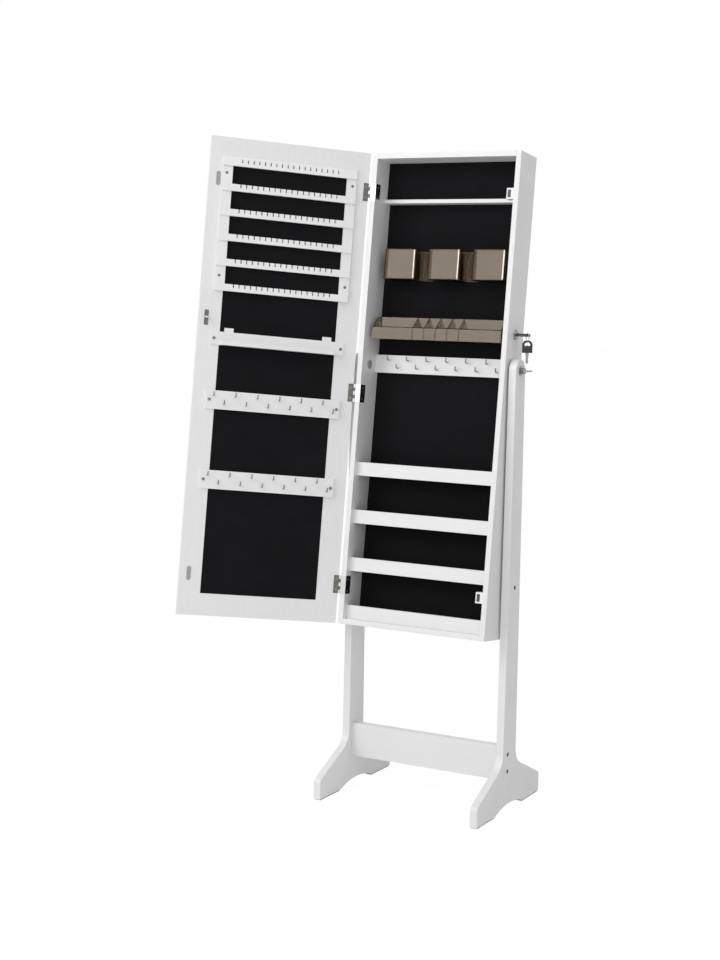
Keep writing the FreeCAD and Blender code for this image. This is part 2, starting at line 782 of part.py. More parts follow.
def build_organisers():
    wall = S.organiser_wall
    middles = [(i - (CUP_COUNT - 1) / 2) * (CUP_WIDTH + S.cup_gap) for i in range(CUP_COUNT)]
    plate = box((CUP_SPAN, wall, S.cup_height), (-CUP_SPAN / 2, LINING - wall, CUP_BOTTOM))
    body = fuse([plate] + [cup_tub(x, 0.0, 0.0) for x in middles])
    cups = cut(body, [cup_tub(x, wall, wall) for x in middles])
    piece("cup_organiser", CABINET, cups)

    middle_y = S.tray_front + S.tray_step
    profile = [
        (S.tray_front, TRAY_BOTTOM),
        (LINING, TRAY_BOTTOM),
        (LINING, TRAY_BOTTOM + S.tray_back_height),
        (middle_y, TRAY_BOTTOM + S.tray_back_height),
        (S.tray_front, TRAY_BOTTOM + S.tray_front_height),
    ]
    tray = padded_outline("tray", "YZ_Plane", profile, TRAY_WIDTH, -TRAY_WIDTH / 2)
    inside = TRAY_WIDTH - 2 * wall
    trough = box((inside, LINING - middle_y - 2 * wall, S.tray_back_height),
                 (-inside / 2, middle_y + wall, TRAY_BOTTOM + wall))
    edges = [-inside / 2]
    for i in range(TRAY_DIVIDERS):
        edges.append((i - (TRAY_DIVIDERS - 1) / 2) * S.tray_slot_pitch)
    edges.append(inside / 2)
    pockets = [trough]
    for i, (left, right) in enumerate(zip(edges, edges[1:])):
        start = left if i == 0 else left + wall / 2
        end = right if i == TRAY_DIVIDERS else right - wall / 2
        pockets.append(box((end - start, S.tray_step - wall, S.tray_back_height),
                           (start, S.tray_front + wall, TRAY_BOTTOM + wall)))
    piece("divider_tray", CABINET, cut(tray, pockets))


# Catches, lock and keys
def build_catches():
    housings = []
    magnets = []
    for middle in CATCH_MIDDLES:
        shell = box((S.catch_width, S.catch_depth, S.catch_height),
                    (INNER - S.catch_width, S.catch_front, middle - S.catch_height / 2))
        x = INNER - S.magnet_inset - S.magnet_width / 2
        z = middle - S.magnet_height / 2
        magnet = (S.magnet_width, S.magnet_depth, S.magnet_height)
        housings.append(cut(shell, [box(magnet, (x, S.catch_front, z))]))
        magnets.append(box(magnet, (x, S.catch_front, z)))
    piece("catch_housings", CABINET, bundle(housings))
    piece("catch_magnets", CABINET, bundle(magnets))


BARREL_END = INNER - S.lock_barrel_inside
CAM_X = BARREL_END - S.cam_thickness
ROSE_FACE = HALF + S.lock_rose_thickness
LOCK_SPOT = (S.lock_setback, LOCK_RISE)
CAM_REACH = S.lock_setback - S.leaf_thickness - 2 * S.fit_clearance
BOW_START = ROSE_FACE + S.key_shoulder


def key_slot(spare):
    """The slot that the key blade fills, wide along the depth of the cabinet."""
    width = S.key_blade_width + 2 * spare
    thick = S.key_blade_thickness + 2 * spare
    return box((S.key_blade_length + spare, width, thick),
               (ROSE_FACE - S.key_blade_length - spare, S.lock_setback - width / 2, LOCK_RISE - thick / 2))


def build_lock():
    clear = S.hole_clearance
    y, z = LOCK_SPOT
    barrel = rod(S.lock_barrel_radius, HALF - BARREL_END, (BARREL_END, y, z), "X")
    rose = doc.addObject("Part::Cone", "rose")
    bind(rose, "Radius1", S.lock_rose_radius)
    bind(rose, "Radius2", S.lock_rose_radius - S.lock_rose_thickness / 2)
    bind(rose, "Height", S.lock_rose_thickness)
    put(rose, (HALF, y, z), TURNS["X"])
    bore = rod(S.plug_radius + clear, ROSE_FACE - BARREL_END, (BARREL_END, y, z), "X")
    piece("lock_housing", CABINET, cut(fuse([barrel, rose]), [bore]))
    plug = rod(S.plug_radius, ROSE_FACE - BARREL_END, (BARREL_END, y, z), "X")
    piece("lock_plug", CABINET, cut(plug, [key_slot(clear)]))

    hub = rod(S.cam_hub_radius, S.cam_thickness, (CAM_X, y, z), "X")
    arm = box((S.cam_thickness, 2 * S.cam_arm_half, CAM_REACH - S.cam_hook_depth / 2),
              (CAM_X, y - S.cam_arm_half, z))
    piece("lock_cam", CABINET, fuse([hub, arm, cam_finger()]))


def cam_finger():
    """The curved finger at the end of the cam, round the plug's own axis."""
    y, z = LOCK_SPOT
    angle = math.radians(S.cam_hook_angle.number)
    band = cut(rod(CAM_REACH, S.cam_thickness, (CAM_X, y, z), "X"),
               [rod(CAM_REACH - S.cam_hook_depth, S.cam_thickness, (CAM_X, y, z), "X")])
    side = S.cam_arm_half + CAM_REACH * math.sin(angle)
    low = CAM_REACH * math.cos(angle) - 2 * S.cam_hook_depth
    window = box((S.cam_thickness, side + S.cam_arm_half, CAM_REACH - low), (CAM_X, y - side, z + low))
    finger = doc.addObject("Part::Common", "finger")
    finger.Base = band
    finger.Tool = window
    return finger


def key_bow(frame_x, y, z, label, frame):
    """A flat moulded bow with a three-lobed hole, lying in the frame's XY plane."""
    half = S.key_bow_width / 2
    corners = [(frame_x, y - half), (frame_x + S.key_bow_length, y - half),
               (frame_x + S.key_bow_length, y + half), (frame_x, y + half)]
    plate = padded_outline("bow", "XY_Plane", corners, S.key_bow_thickness, z - S.key_bow_thickness / 2,
                           rounds=[(S.key_bow_round, (1, 2))])
    middle_x = frame_x + S.key_bow_length - S.key_hole_inset
    lobe_x = middle_x - S.key_lobe_drop
    low = z - S.key_bow_thickness / 2
    hole = fuse([rod(S.key_hole_radius, S.key_bow_thickness, (middle_x, y, low)),
                 rod(S.key_lobe_radius, S.key_bow_thickness, (lobe_x, y - S.key_lobe_spread, low)),
                 rod(S.key_lobe_radius, S.key_bow_thickness, (lobe_x, y + S.key_lobe_spread, low))])
    piece(label, frame, cut(plate, [hole]))


def bow_reach():
    """How far the bow's rounded corner lies from its hole, the way the ring hangs."""
    turn = math.radians(S.ring_turn.number)
    round_radius = S.key_bow_round.number
    along = S.key_hole_inset.number - round_radius
    aside = S.key_bow_width.number / 2 - round_radius
    way = along * math.cos(turn) + aside * math.sin(turn)
    return way + math.sqrt(round_radius ** 2 - along ** 2 - aside ** 2 + way ** 2)


def build_keys():
    y, z = LOCK_SPOT
    width = S.key_blade_width
    thick = S.key_blade_thickness
    length = S.key_blade_length + S.key_shoulder
    blade_at = (ROSE_FACE - S.key_blade_length, y - width / 2, z - thick / 2)
    piece("main_key_blade", CABINET, box((length, width, thick), blade_at))
    key_bow(BOW_START, y, z, "main_key_bow", CABINET)

    # the ring hangs upright round the strip between the hole and the bow's corner
    turn = math.radians(S.ring_turn.number)
    strip_middle = (S.key_hole_radius.number + bow_reach()) / 2
    hole_x = BOW_START + S.key_bow_length - S.key_hole_inset
    strip = V(hole_x.number + strip_middle * math.cos(turn), y.number - strip_middle * math.sin(turn), z.number)
    ring_frame = FreeCAD.Placement(CABINET.multVec(strip), FreeCAD.Rotation(V(0, 0, 1), -S.ring_turn.number))
    ring_z = S.key_bow_thickness / 2 + S.ring_slack + S.ring_wire - S.ring_radius
    ring = doc.addObject("Part::Torus", "ring")
    bind(ring, "Radius1", S.ring_radius)
    bind(ring, "Radius2", S.ring_wire)
    put(ring, (0, 0, ring_z), TURNS["Y"])
    piece("key_ring", ring_frame, ring)

    wire = ring_frame.multVec(V(0, 0, (ring_z - S.ring_radius).number))
    # the spare key hangs straight down, its bow's hole round the lowest point of the ring
    hanging = FreeCAD.Rotation(V(0, 0, 1), -S.spare_key_turn.number) * FreeCAD.Rotation(V(0, 1, 0), -90)
    spare_frame = FreeCAD.Placement(wire, hanging)
    hole_top = S.ring_wire + S.ring_slack
    bow_end = hole_top + S.key_hole_inset - S.key_hole_radius
    bow_start = bow_end - S.key_bow_length
    key_bow(bow_start, dim(0.0), dim(0.0), "spare_key_bow", spare_frame)
    spare_length = S.key_blade_length + S.key_shoulder
    piece("spare_key_blade", spare_frame, box((spare_length, width, thick),
                                              (bow_start - spare_length, -width / 2, -thick / 2)))


# Door: a frame with the mirror let in from outside and a velvet board inside
FACE = -S.door_gap / 2
DOOR_START = HINGE_OFFSET
DOOR_MIDDLE = DOOR_START + DOOR_WIDTH / 2
OUTSIDE = FACE - S.door_thickness
BOARD_BACK = OUTSIDE + S.mirror_thickness + S.mirror_backing


def centred(width, depth, height, start_y, start_z):
    """A block across the middle of the door."""
    return box((width, depth, height), (DOOR_MIDDLE - width / 2, start_y, start_z))


def build_door(screw_spots):
    slab = centred(DOOR_WIDTH, S.door_thickness, S.cabinet_height, OUTSIDE, 0)
    window_width = DOOR_WIDTH - 2 * S.window_margin
    window_height = S.cabinet_height - 2 * S.window_margin
    mirror_width = DOOR_WIDTH - 2 * S.mirror_margin
    mirror_height = S.cabinet_height - 2 * S.mirror_margin
    rebate = S.mirror_thickness + S.mirror_backing
    opening = fuse([
        centred(window_width, S.door_thickness, window_height, OUTSIDE, S.window_margin),
        centred(mirror_width, rebate, mirror_height, OUTSIDE, S.mirror_margin)])
    holes = [rod(S.screw_radius + S.hole_clearance, SCREW_LENGTH, (x, FACE - SCREW_LENGTH, z), "Y")
             for x, z in screw_spots]
    piece("door_frame", DOOR, cut(slab, [opening] + holes))
    fit = S.fit_clearance
    for label, start, depth in (("mirror_glass", OUTSIDE, S.mirror_thickness),
                                ("mirror_backing", OUTSIDE + S.mirror_thickness, S.mirror_backing)):
        piece(label, DOOR, centred(mirror_width - 2 * fit, depth, mirror_height - 2 * fit,
                                   start, S.mirror_margin + fit))
    piece("door_velvet", DOOR, centred(window_width - 2 * fit, FACE - S.velvet_recess - BOARD_BACK,
                                       window_height - 2 * fit, BOARD_BACK, S.window_margin + fit))


def ladder_screws():
    side = LADDER_WIDTH / 2 - S.ladder_screw_inset
    low = LADDER_BOTTOM + S.ladder_screw_rise
    return [(DOOR_MIDDLE + way * side, z) for way in (-1, 1) for z in (low, low + S.ladder_screw_spread)]


def ledge_screws():
    side = LEDGE_WIDTH / 2 - S.ledge_screw_inset
    z = LEDGE_BOTTOM + S.ledge_back_height / 2
    return [(DOOR_MIDDLE + way * side, z) for way in (-1, 1)]


def strip_screws(bottom):
    side = DOOR_STRIP_WIDTH / 2 - S.strip_screw_inset
    return [(DOOR_MIDDLE + way * side, bottom + S.door_strip_height / 2) for way in (-1, 1)]


def build_ladder():
    """The earring ladder: lapped boards with slotted rungs, open between the rungs."""
    top = LADDER_BOTTOM + LADDER_WINDOWS * S.ladder_pitch + S.ladder_head
    profile = [(FACE, LADDER_BOTTOM)]
    for k in range(LADDER_WINDOWS + 1):
        lap = LADDER_BOTTOM + k * S.ladder_pitch
        end = lap + S.ladder_pitch if k < LADDER_WINDOWS else top
        profile += [(FACE + S.ladder_thick, lap), (FACE + S.ladder_thin, end)]
    profile.append((FACE, top))
    board = padded_outline("ladder", "YZ_Plane", profile, LADDER_WIDTH, DOOR_MIDDLE - LADDER_WIDTH / 2)
    window = LADDER_WIDTH - 2 * S.ladder_stile
    slot_span = window - 2 * S.ladder_slot_end
    windows = []
    slots = []
    for k in range(LADDER_WINDOWS + 1):
        rung_top = LADDER_BOTTOM + k * S.ladder_pitch + S.ladder_rung
        if k < LADDER_WINDOWS:
            windows.append(centred(window, S.ladder_thick, S.ladder_pitch - S.ladder_rung, FACE, rung_top))
        for i in range(LADDER_SLOTS):
            x = DOOR_MIDDLE + (i / (LADDER_SLOTS - 1) - 0.5) * slot_span - S.ladder_slot_width / 2
            slots.append(box((S.ladder_slot_width, S.ladder_thick, S.ladder_slot_depth),
                             (x, FACE, rung_top - S.ladder_slot_depth)))
    seats = []
    for x, z in ladder_screws():
        wide = rod(S.screw_head_radius + S.hole_clearance, S.ladder_thick, (x, FACE + S.screw_seat, z), "Y")
        narrow = rod(S.screw_radius + S.hole_clearance, S.screw_seat, (x, FACE, z), "Y")
        seats.append(fuse([wide, narrow]))
    piece("earring_ladder", DOOR, cut(cut(board, windows), slots + seats))


def build_ledge():
    wall = S.ledge_wall
    trough = LEDGE_WIDTH - 2 * S.ledge_ear
    tab_z = LEDGE_BOTTOM + S.ledge_back_height - wall
    solids = [
        centred(LEDGE_WIDTH, wall, S.ledge_back_height, FACE, LEDGE_BOTTOM),
        centred(trough, S.ledge_depth, wall, FACE, LEDGE_BOTTOM),
        centred(trough, wall, S.ledge_lip, FACE + S.ledge_depth - wall, LEDGE_BOTTOM),
    ]
    for way in (-1, 1):
        end = DOOR_MIDDLE + way * (trough / 2 - wall / 2) - wall / 2
        solids.append(box((wall, S.ledge_depth, S.ledge_lip), (end, FACE, LEDGE_BOTTOM)))
        tab = DOOR_MIDDLE + way * (LEDGE_WIDTH / 2 - S.ledge_tab_inset) - S.ledge_tab_width / 2
        solids.append(box((S.ledge_tab_width, wall, S.ledge_tab_rise + wall), (tab, FACE, tab_z)))
    holes = [rod(S.screw_radius + S.hole_clearance, wall, (x, FACE, z), "Y") for x, z in ledge_screws()]
    piece("ring_ledge", DOOR, cut(fuse(solids), holes))


def build_door_strips():
    hooks = []
    for label, bottom in (("upper_hook_strip", UPPER_STRIP_BOTTOM), ("lower_hook_strip", LOWER_STRIP_BOTTOM)):
        face = FACE + S.door_strip_thickness
        span = DOOR_STRIP_WIDTH - 2 * S.door_hook_end
        spots = hook_spots(DOOR_MIDDLE - span / 2, span, bottom + S.door_strip_height / 2, False)
        holes = [rod(S.hook_radius + S.hole_clearance, S.door_strip_thickness, (x, FACE, z), "Y")
                 for x, z in spots]
        holes += [rod(S.screw_radius + S.hole_clearance, S.door_strip_thickness, (x, FACE, z), "Y")
                  for x, z in strip_screws(bottom)]
        strip = centred(DOOR_STRIP_WIDTH, S.door_strip_thickness, S.door_strip_height, FACE, bottom)
        piece(label, DOOR, cut(strip, holes))
        hooks += [hook(x, face, z, 1, S.door_strip_thickness) for x, z in spots]
    piece("door_hooks", DOOR, bundle(hooks))


def build_door_screws():
    screws = [seated_screw(x, S.screw_seat, z) for x, z in ladder_screws()]
    screws += [seated_screw(x, S.ledge_wall, z) for x, z in ledge_screws()]
    for bottom in (UPPER_STRIP_BOTTOM, LOWER_STRIP_BOTTOM):
        screws += [seated_screw(x, S.door_strip_thickness, z) for x, z in strip_screws(bottom)]
    piece("door_screws", DOOR, bundle(screws))


def seated_screw(x, seat, z):
    """A screw through a holder of the given thickness into the door frame."""
    head = rod(S.screw_head_radius, S.screw_head_height, (x, FACE + seat, z), "Y")
    shank = rod(S.screw_radius, SCREW_LENGTH + seat, (x, FACE - SCREW_LENGTH, z), "Y")
    return fuse([head, shank])


def build_door_furniture():
    strike_x = INNER - S.magnet_inset + HALF + HINGE_OFFSET
    round_end = S.strike_width / 2
    strikes = []
    for middle in CATCH_MIDDLES:
        straight = S.strike_height - S.strike_width
        low = middle - straight / 2
        strikes.append(fuse([
            box((S.strike_width, S.strike_thickness, straight), (strike_x - round_end, FACE, low)),
            rod(round_end, S.strike_thickness, (strike_x, FACE, low), "Y"),
            rod(round_end, S.strike_thickness, (strike_x, FACE, low + straight), "Y")]))
    piece("strike_plates", DOOR, bundle(strikes))

    x = CAM_X + S.cam_thickness / 2 + HALF + HINGE_OFFSET - S.keeper_width / 2
    bar_top = LOCK_RISE - S.cam_arm_half - S.keeper_slack
    bar_low = bar_top - S.keeper_bar_height
    bar_y = S.door_gap / 2 + S.lock_setback - CAM_REACH + S.cam_hook_depth + 2 * S.keeper_slack
    plate_low = bar_low + S.keeper_bar_height / 2 - S.keeper_height / 2
    solids = [
        box((S.keeper_width, S.keeper_plate, S.keeper_height), (x, FACE, plate_low)),
        box((S.keeper_width, S.keeper_bar, S.keeper_bar_height), (x, bar_y, bar_low)),
    ]
    leg_size = (S.keeper_leg, bar_y + S.keeper_bar - FACE, S.keeper_bar_height)
    for leg in (x, x + S.keeper_width - S.keeper_leg):
        solids.append(box(leg_size, (leg, FACE, bar_low)))
    piece("lock_keeper", DOOR, fuse(solids))


# Hinges: a leaf on the door, a wrapped leaf on the cabinet edge and a pin through both
def knuckle_bounds(low, owner):
    """The heights of every second knuckle, for the cabinet (0) or the door (1)."""
    step = S.hinge_height / KNUCKLES
    return [(low + k * step + S.knuckle_clearance / 2, step - S.knuckle_clearance)
            for k in range(owner, KNUCKLES, 2)]


def build_hinges():
    door_leaves = []
    cabinet_leaves = []
    pins = []
    axis_x = -HALF - HINGE_OFFSET
    axis_y = -S.door_gap / 2
    leaf = S.leaf_thickness
    for middle in HINGE_MIDDLES:
        low = middle - S.hinge_height / 2
        plates = [box((S.door_leaf_width - HINGE_OFFSET, leaf, S.hinge_height), (HINGE_OFFSET, FACE, low))]
        for z, height in knuckle_bounds(low, 1):
            plates.append(box((HINGE_OFFSET, leaf, height), (0, FACE, z)))
            plates.append(rod(S.knuckle_radius, height, (0, 0, z)))
        bore = rod(S.hinge_pin_radius + S.hole_clearance, S.hinge_height, (0, 0, low))
        door_leaves.append(cut(fuse(plates), [bore]))
        plates = [
            box((S.panel_thickness + leaf, leaf, S.hinge_height), (-HALF, -leaf, low)),
            box((leaf, S.inner_leaf_depth + leaf, S.hinge_height), (-INNER, -leaf, low))]
        for z, height in knuckle_bounds(low, 0):
            plates.append(box((HINGE_OFFSET, leaf, height), (axis_x, -leaf, z)))
            plates.append(rod(S.knuckle_radius, height, (axis_x, axis_y, z)))
        bore = rod(S.hinge_pin_radius + S.hole_clearance, S.hinge_height, (axis_x, axis_y, low))
        cabinet_leaves.append(cut(fuse(plates), [bore]))
        pins.append(rod(S.hinge_pin_radius, S.hinge_height, (axis_x, axis_y, low)))
    piece("hinge_door_leaves", DOOR, bundle(door_leaves))
    piece("hinge_cabinet_leaves", CABINET, bundle(cabinet_leaves))
    piece("hinge_pins", CABINET, bundle(pins))


build_stand()
build_pivot()
build_box()
build_cabinet_hooks()
build_organisers()
build_catches()
build_lock()
build_keys()
build_door(ladder_screws() + ledge_screws() + strip_screws(UPPER_STRIP_BOTTOM)
           + strip_screws(LOWER_STRIP_BOTTOM))
build_ladder()
build_ledge()
build_door_strips()
build_door_screws()
build_door_furniture()
build_hinges()

doc.recompute()
failed = [item.Label for item in doc.Objects if "Invalid" in item.State or "Error" in item.State]
for item in PIECES:
    if item.Shape.isNull() or not item.Shape.isValid():
        failed.append(item.Label)
if failed:
    raise RuntimeError("not built: " + ", ".join(failed))
os.makedirs("parts", exist_ok=True)
for item in PIECES:
    item.Shape.exportStep(f"parts/{item.Label}.step")
    print(item.Label, len(item.Shape.Solids), round(item.Shape.Volume))
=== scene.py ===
"""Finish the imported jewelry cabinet: white lacquered boards, velvet, smoky trays, metalwork, light and camera."""
from __future__ import annotations

import json
import logging
import math
from dataclasses import dataclass, field, replace
from enum import Enum
from functools import partial
from typing import Callable, Iterable, NamedTuple, Sequence, Union

import bmesh
import bpy
from mathutils import Matrix, Vector

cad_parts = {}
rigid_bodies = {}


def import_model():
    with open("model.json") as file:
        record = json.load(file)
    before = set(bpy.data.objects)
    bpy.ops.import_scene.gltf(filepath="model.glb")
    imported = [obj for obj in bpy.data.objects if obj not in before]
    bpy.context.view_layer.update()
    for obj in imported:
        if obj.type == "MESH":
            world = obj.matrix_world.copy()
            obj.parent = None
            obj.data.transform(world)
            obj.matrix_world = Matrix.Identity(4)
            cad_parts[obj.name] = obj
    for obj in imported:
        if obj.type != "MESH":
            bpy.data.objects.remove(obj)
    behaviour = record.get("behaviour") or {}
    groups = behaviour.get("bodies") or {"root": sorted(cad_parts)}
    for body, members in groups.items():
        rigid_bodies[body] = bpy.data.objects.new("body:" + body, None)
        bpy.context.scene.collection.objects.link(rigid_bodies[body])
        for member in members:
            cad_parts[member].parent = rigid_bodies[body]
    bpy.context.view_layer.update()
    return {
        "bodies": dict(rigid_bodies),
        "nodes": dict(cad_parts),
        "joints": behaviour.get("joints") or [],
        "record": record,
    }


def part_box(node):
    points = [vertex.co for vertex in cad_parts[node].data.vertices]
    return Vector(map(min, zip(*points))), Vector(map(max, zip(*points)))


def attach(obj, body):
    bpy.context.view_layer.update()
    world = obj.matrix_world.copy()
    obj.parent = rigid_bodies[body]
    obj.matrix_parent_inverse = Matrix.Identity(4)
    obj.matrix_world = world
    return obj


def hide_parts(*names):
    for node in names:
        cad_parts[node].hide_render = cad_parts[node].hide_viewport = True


LOG = logging.getLogger("jewelry_cabinet")

Socket = bpy.types.NodeSocket
Operand = Union[Socket, float]
Colour = tuple[float, float, float]
Spot = tuple[float, float, float]
Band = tuple[float, float]

MM = 0.001
WELD = 1e-6


class Slot(Enum):
    """The record's material slots."""

    LACQUER = "white_lacquer"
    WHITE_PLASTIC = "white_plastic"
    BOARD = "raw_board"
    VELVET = "velvet_board"
    SMOKE = "smoky_plastic"
    METAL = "bright_metal"
    BLACK_STEEL = "black_steel"
    BLACK_PLASTIC = "black_plastic"
    MAGNET = "magnet"
    BEECH = "beech"
    MIRROR = "mirror"


class Effect(Enum):
    """The shared surface effects, each a shader node group."""

    PAINT_FILM = "paint_film"
    PAINT_FILM_LEVEL = "paint_film_level"
    VELVET_NAP = "velvet_nap"
    BRUSHED_GRAIN = "brushed_grain"
    MOULDED_SKIN = "moulded_skin"
    WOOD_FIBRE = "wood_fibre"
    HANDLING_MARKS = "handling_marks"
    SMOKE_FLOW_AND_PAINTED_SHADE = "smoke_flow_and_painted_shade"


class Outward(Enum):
    """Which way a screw head looks: the axis that it is turned about, and the turn in degrees."""

    ALONG_X = ("Y", 90.0)
    ALONG_Y = ("X", -90.0)


@dataclass(frozen=True)
class Stance:
    """Where the tilted box and the open door stand, in metres and degrees."""

    pivot_height: float = 0.9717
    pivot_setback: float = 0.0351
    pivot_rise: float = 0.585
    lean: float = 6.8
    door_angle: float = 139.3
    half_width: float = 0.180
    hinge_offset: float = 0.0024
    door_gap: float = 0.0024

    def box(self) -> Matrix:
        """The box's frame: across, in from the front edge, up from the bottom edge.

        Returns:
            The frame.
        """
        turn = Matrix.Rotation(math.radians(-self.lean), 4, "X")
        back = Matrix.Translation((0.0, -self.pivot_setback, -self.pivot_rise))
        return Matrix.Translation((0.0, 0.0, self.pivot_height)) @ turn @ back

    def door(self) -> Matrix:
        """The door's frame: along from the hinge, towards the inside, up."""
        hinge = Matrix.Translation((-self.half_width - self.hinge_offset, -self.door_gap / 2, 0.0))
        return self.box() @ hinge @ Matrix.Rotation(math.radians(-self.door_angle), 4, "Z")


STANCE = Stance()


class NodeBench:
    """A small helper that lays out shader nodes in one tree."""

    NOISE_LOW = 0.3
    NOISE_HIGH = 0.7

    def __init__(self, tree: bpy.types.NodeTree) -> None:
        """Start on the node tree of a material, a world or a group."""
        self.tree = tree

    def add(self, kind: str, **settings: object) -> bpy.types.Node:
        """Add a node and set its properties.

        Args:
            kind: The node's type name.
            settings: Properties to set on it.

        Returns:
            The new node.
        """
        node = self.tree.nodes.new(kind)
        for name, value in settings.items():
            setattr(node, name, value)
        return node

    def join(self, source: Socket, target: Socket) -> None:
        """Link two sockets."""
        self.tree.links.new(source, target)

    def feed(self, target: Socket, value: Operand) -> None:
        """Link a socket to an input, or set the input to a number.

        Args:
            target: The input.
            value: A socket or a number.
        """
        if isinstance(value, Socket):
            self.join(value, target)
        else:
            target.default_value = value

    def maths(self, operation: str, first: Operand, second: Operand = 0.0) -> Socket:
        """Add a math node.

        Args:
            operation: The operation's name.
            first: A socket or a number.
            second: A socket or a number.

        Returns:
            The value socket.
        """
        node = self.add("ShaderNodeMath", operation=operation)
        for place, value in zip(node.inputs, (first, second)):
            self.feed(place, value)
        return node.outputs[0]

    def highest(self, first: Socket, *others: Socket) -> Socket:
        """Take the highest of several values.

        Args:
            first: A value socket.
            others: More value sockets.

        Returns:
            The highest value's socket.
        """
        for other in others:
            first = self.maths("MAXIMUM", first, other)
        return first

    def noise(self, scale: float, detail: float, stretch: Sequence[float] = (1.0, 1.0, 1.0),
              distortion: float = 0.0) -> Socket:
        """Add a noise texture in the object's own coordinates.

        Args:
            scale: Cells per metre.
            detail: Octaves.
            stretch: Scale along each axis.
            distortion: How far the cells are bent.

        Returns:
            The noise value socket.
        """
        place = self.add("ShaderNodeTexCoord")
        mapping = self.add("ShaderNodeMapping")
        mapping.inputs["Scale"].default_value = stretch
        texture = self.add("ShaderNodeTexNoise")
        texture.inputs["Scale"].default_value = scale
        texture.inputs["Detail"].default_value = detail
        texture.inputs["Distortion"].default_value = distortion
        self.join(place.outputs["Object"], mapping.inputs["Vector"])
        self.join(mapping.outputs["Vector"], texture.inputs["Vector"])
        return texture.outputs["Fac"]

    def spread(self, value: Socket, low: Operand = 0.0, high: Operand = 1.0) -> Socket:
        """Map the usual range of a noise onto another range.

        Args:
            value: The noise value socket.
            low: What the low end becomes, a socket or a number.
            high: What the high end becomes, a socket or a number.

        Returns:
            The mapped value socket.
        """
        node = self.add("ShaderNodeMapRange")
        node.inputs["From Min"].default_value = self.NOISE_LOW
        node.inputs["From Max"].default_value = self.NOISE_HIGH
        self.join(value, node.inputs["Value"])
        self.feed(node.inputs["To Min"], low)
        self.feed(node.inputs["To Max"], high)
        return node.outputs["Result"]

    def ramp(self, value: Socket, start: float, stop: float, high: float = 1.0) -> Socket:
        """Rise smoothly from 0 to a height as a value goes from one number to another.

        Args:
            value: The value socket.
            start: Where the rise starts.
            stop: Where it ends.
            high: What it reaches.

        Returns:
            The ramp's value socket.
        """
        node = self.add("ShaderNodeMapRange", interpolation_type="SMOOTHSTEP")
        node.inputs["From Min"].default_value = start
        node.inputs["From Max"].default_value = stop
        node.inputs["To Max"].default_value = high
        self.join(value, node.inputs["Value"])
        return node.outputs["Result"]

    def along(self, vector: Socket, direction: Sequence[float]) -> Socket:
        """Measure a vector along a direction.

        Args:
            vector: The vector socket.
            direction: The direction, of length 1.

        Returns:
            The measure's value socket.
        """
        node = self.add("ShaderNodeVectorMath", operation="DOT_PRODUCT")
        node.inputs[1].default_value = direction
        self.join(vector, node.inputs[0])
        return node.outputs["Value"]

    def tint(self, factor: Socket, first: Socket, second: Socket) -> Socket:
        """Mix two colours.

        Args:
            factor: The mix factor socket.
            first: The colour at factor 0.
            second: The colour at factor 1.

        Returns:
            The mixed colour socket.
        """
        node = self.add("ShaderNodeMix", data_type="RGBA")
        self.join(factor, node.inputs["Factor"])
        for name, value in (("A", first), ("B", second)):
            self.join(value, next(item for item in node.inputs if item.name == name and item.type == "RGBA"))
        return next(item for item in node.outputs if item.type == "RGBA")


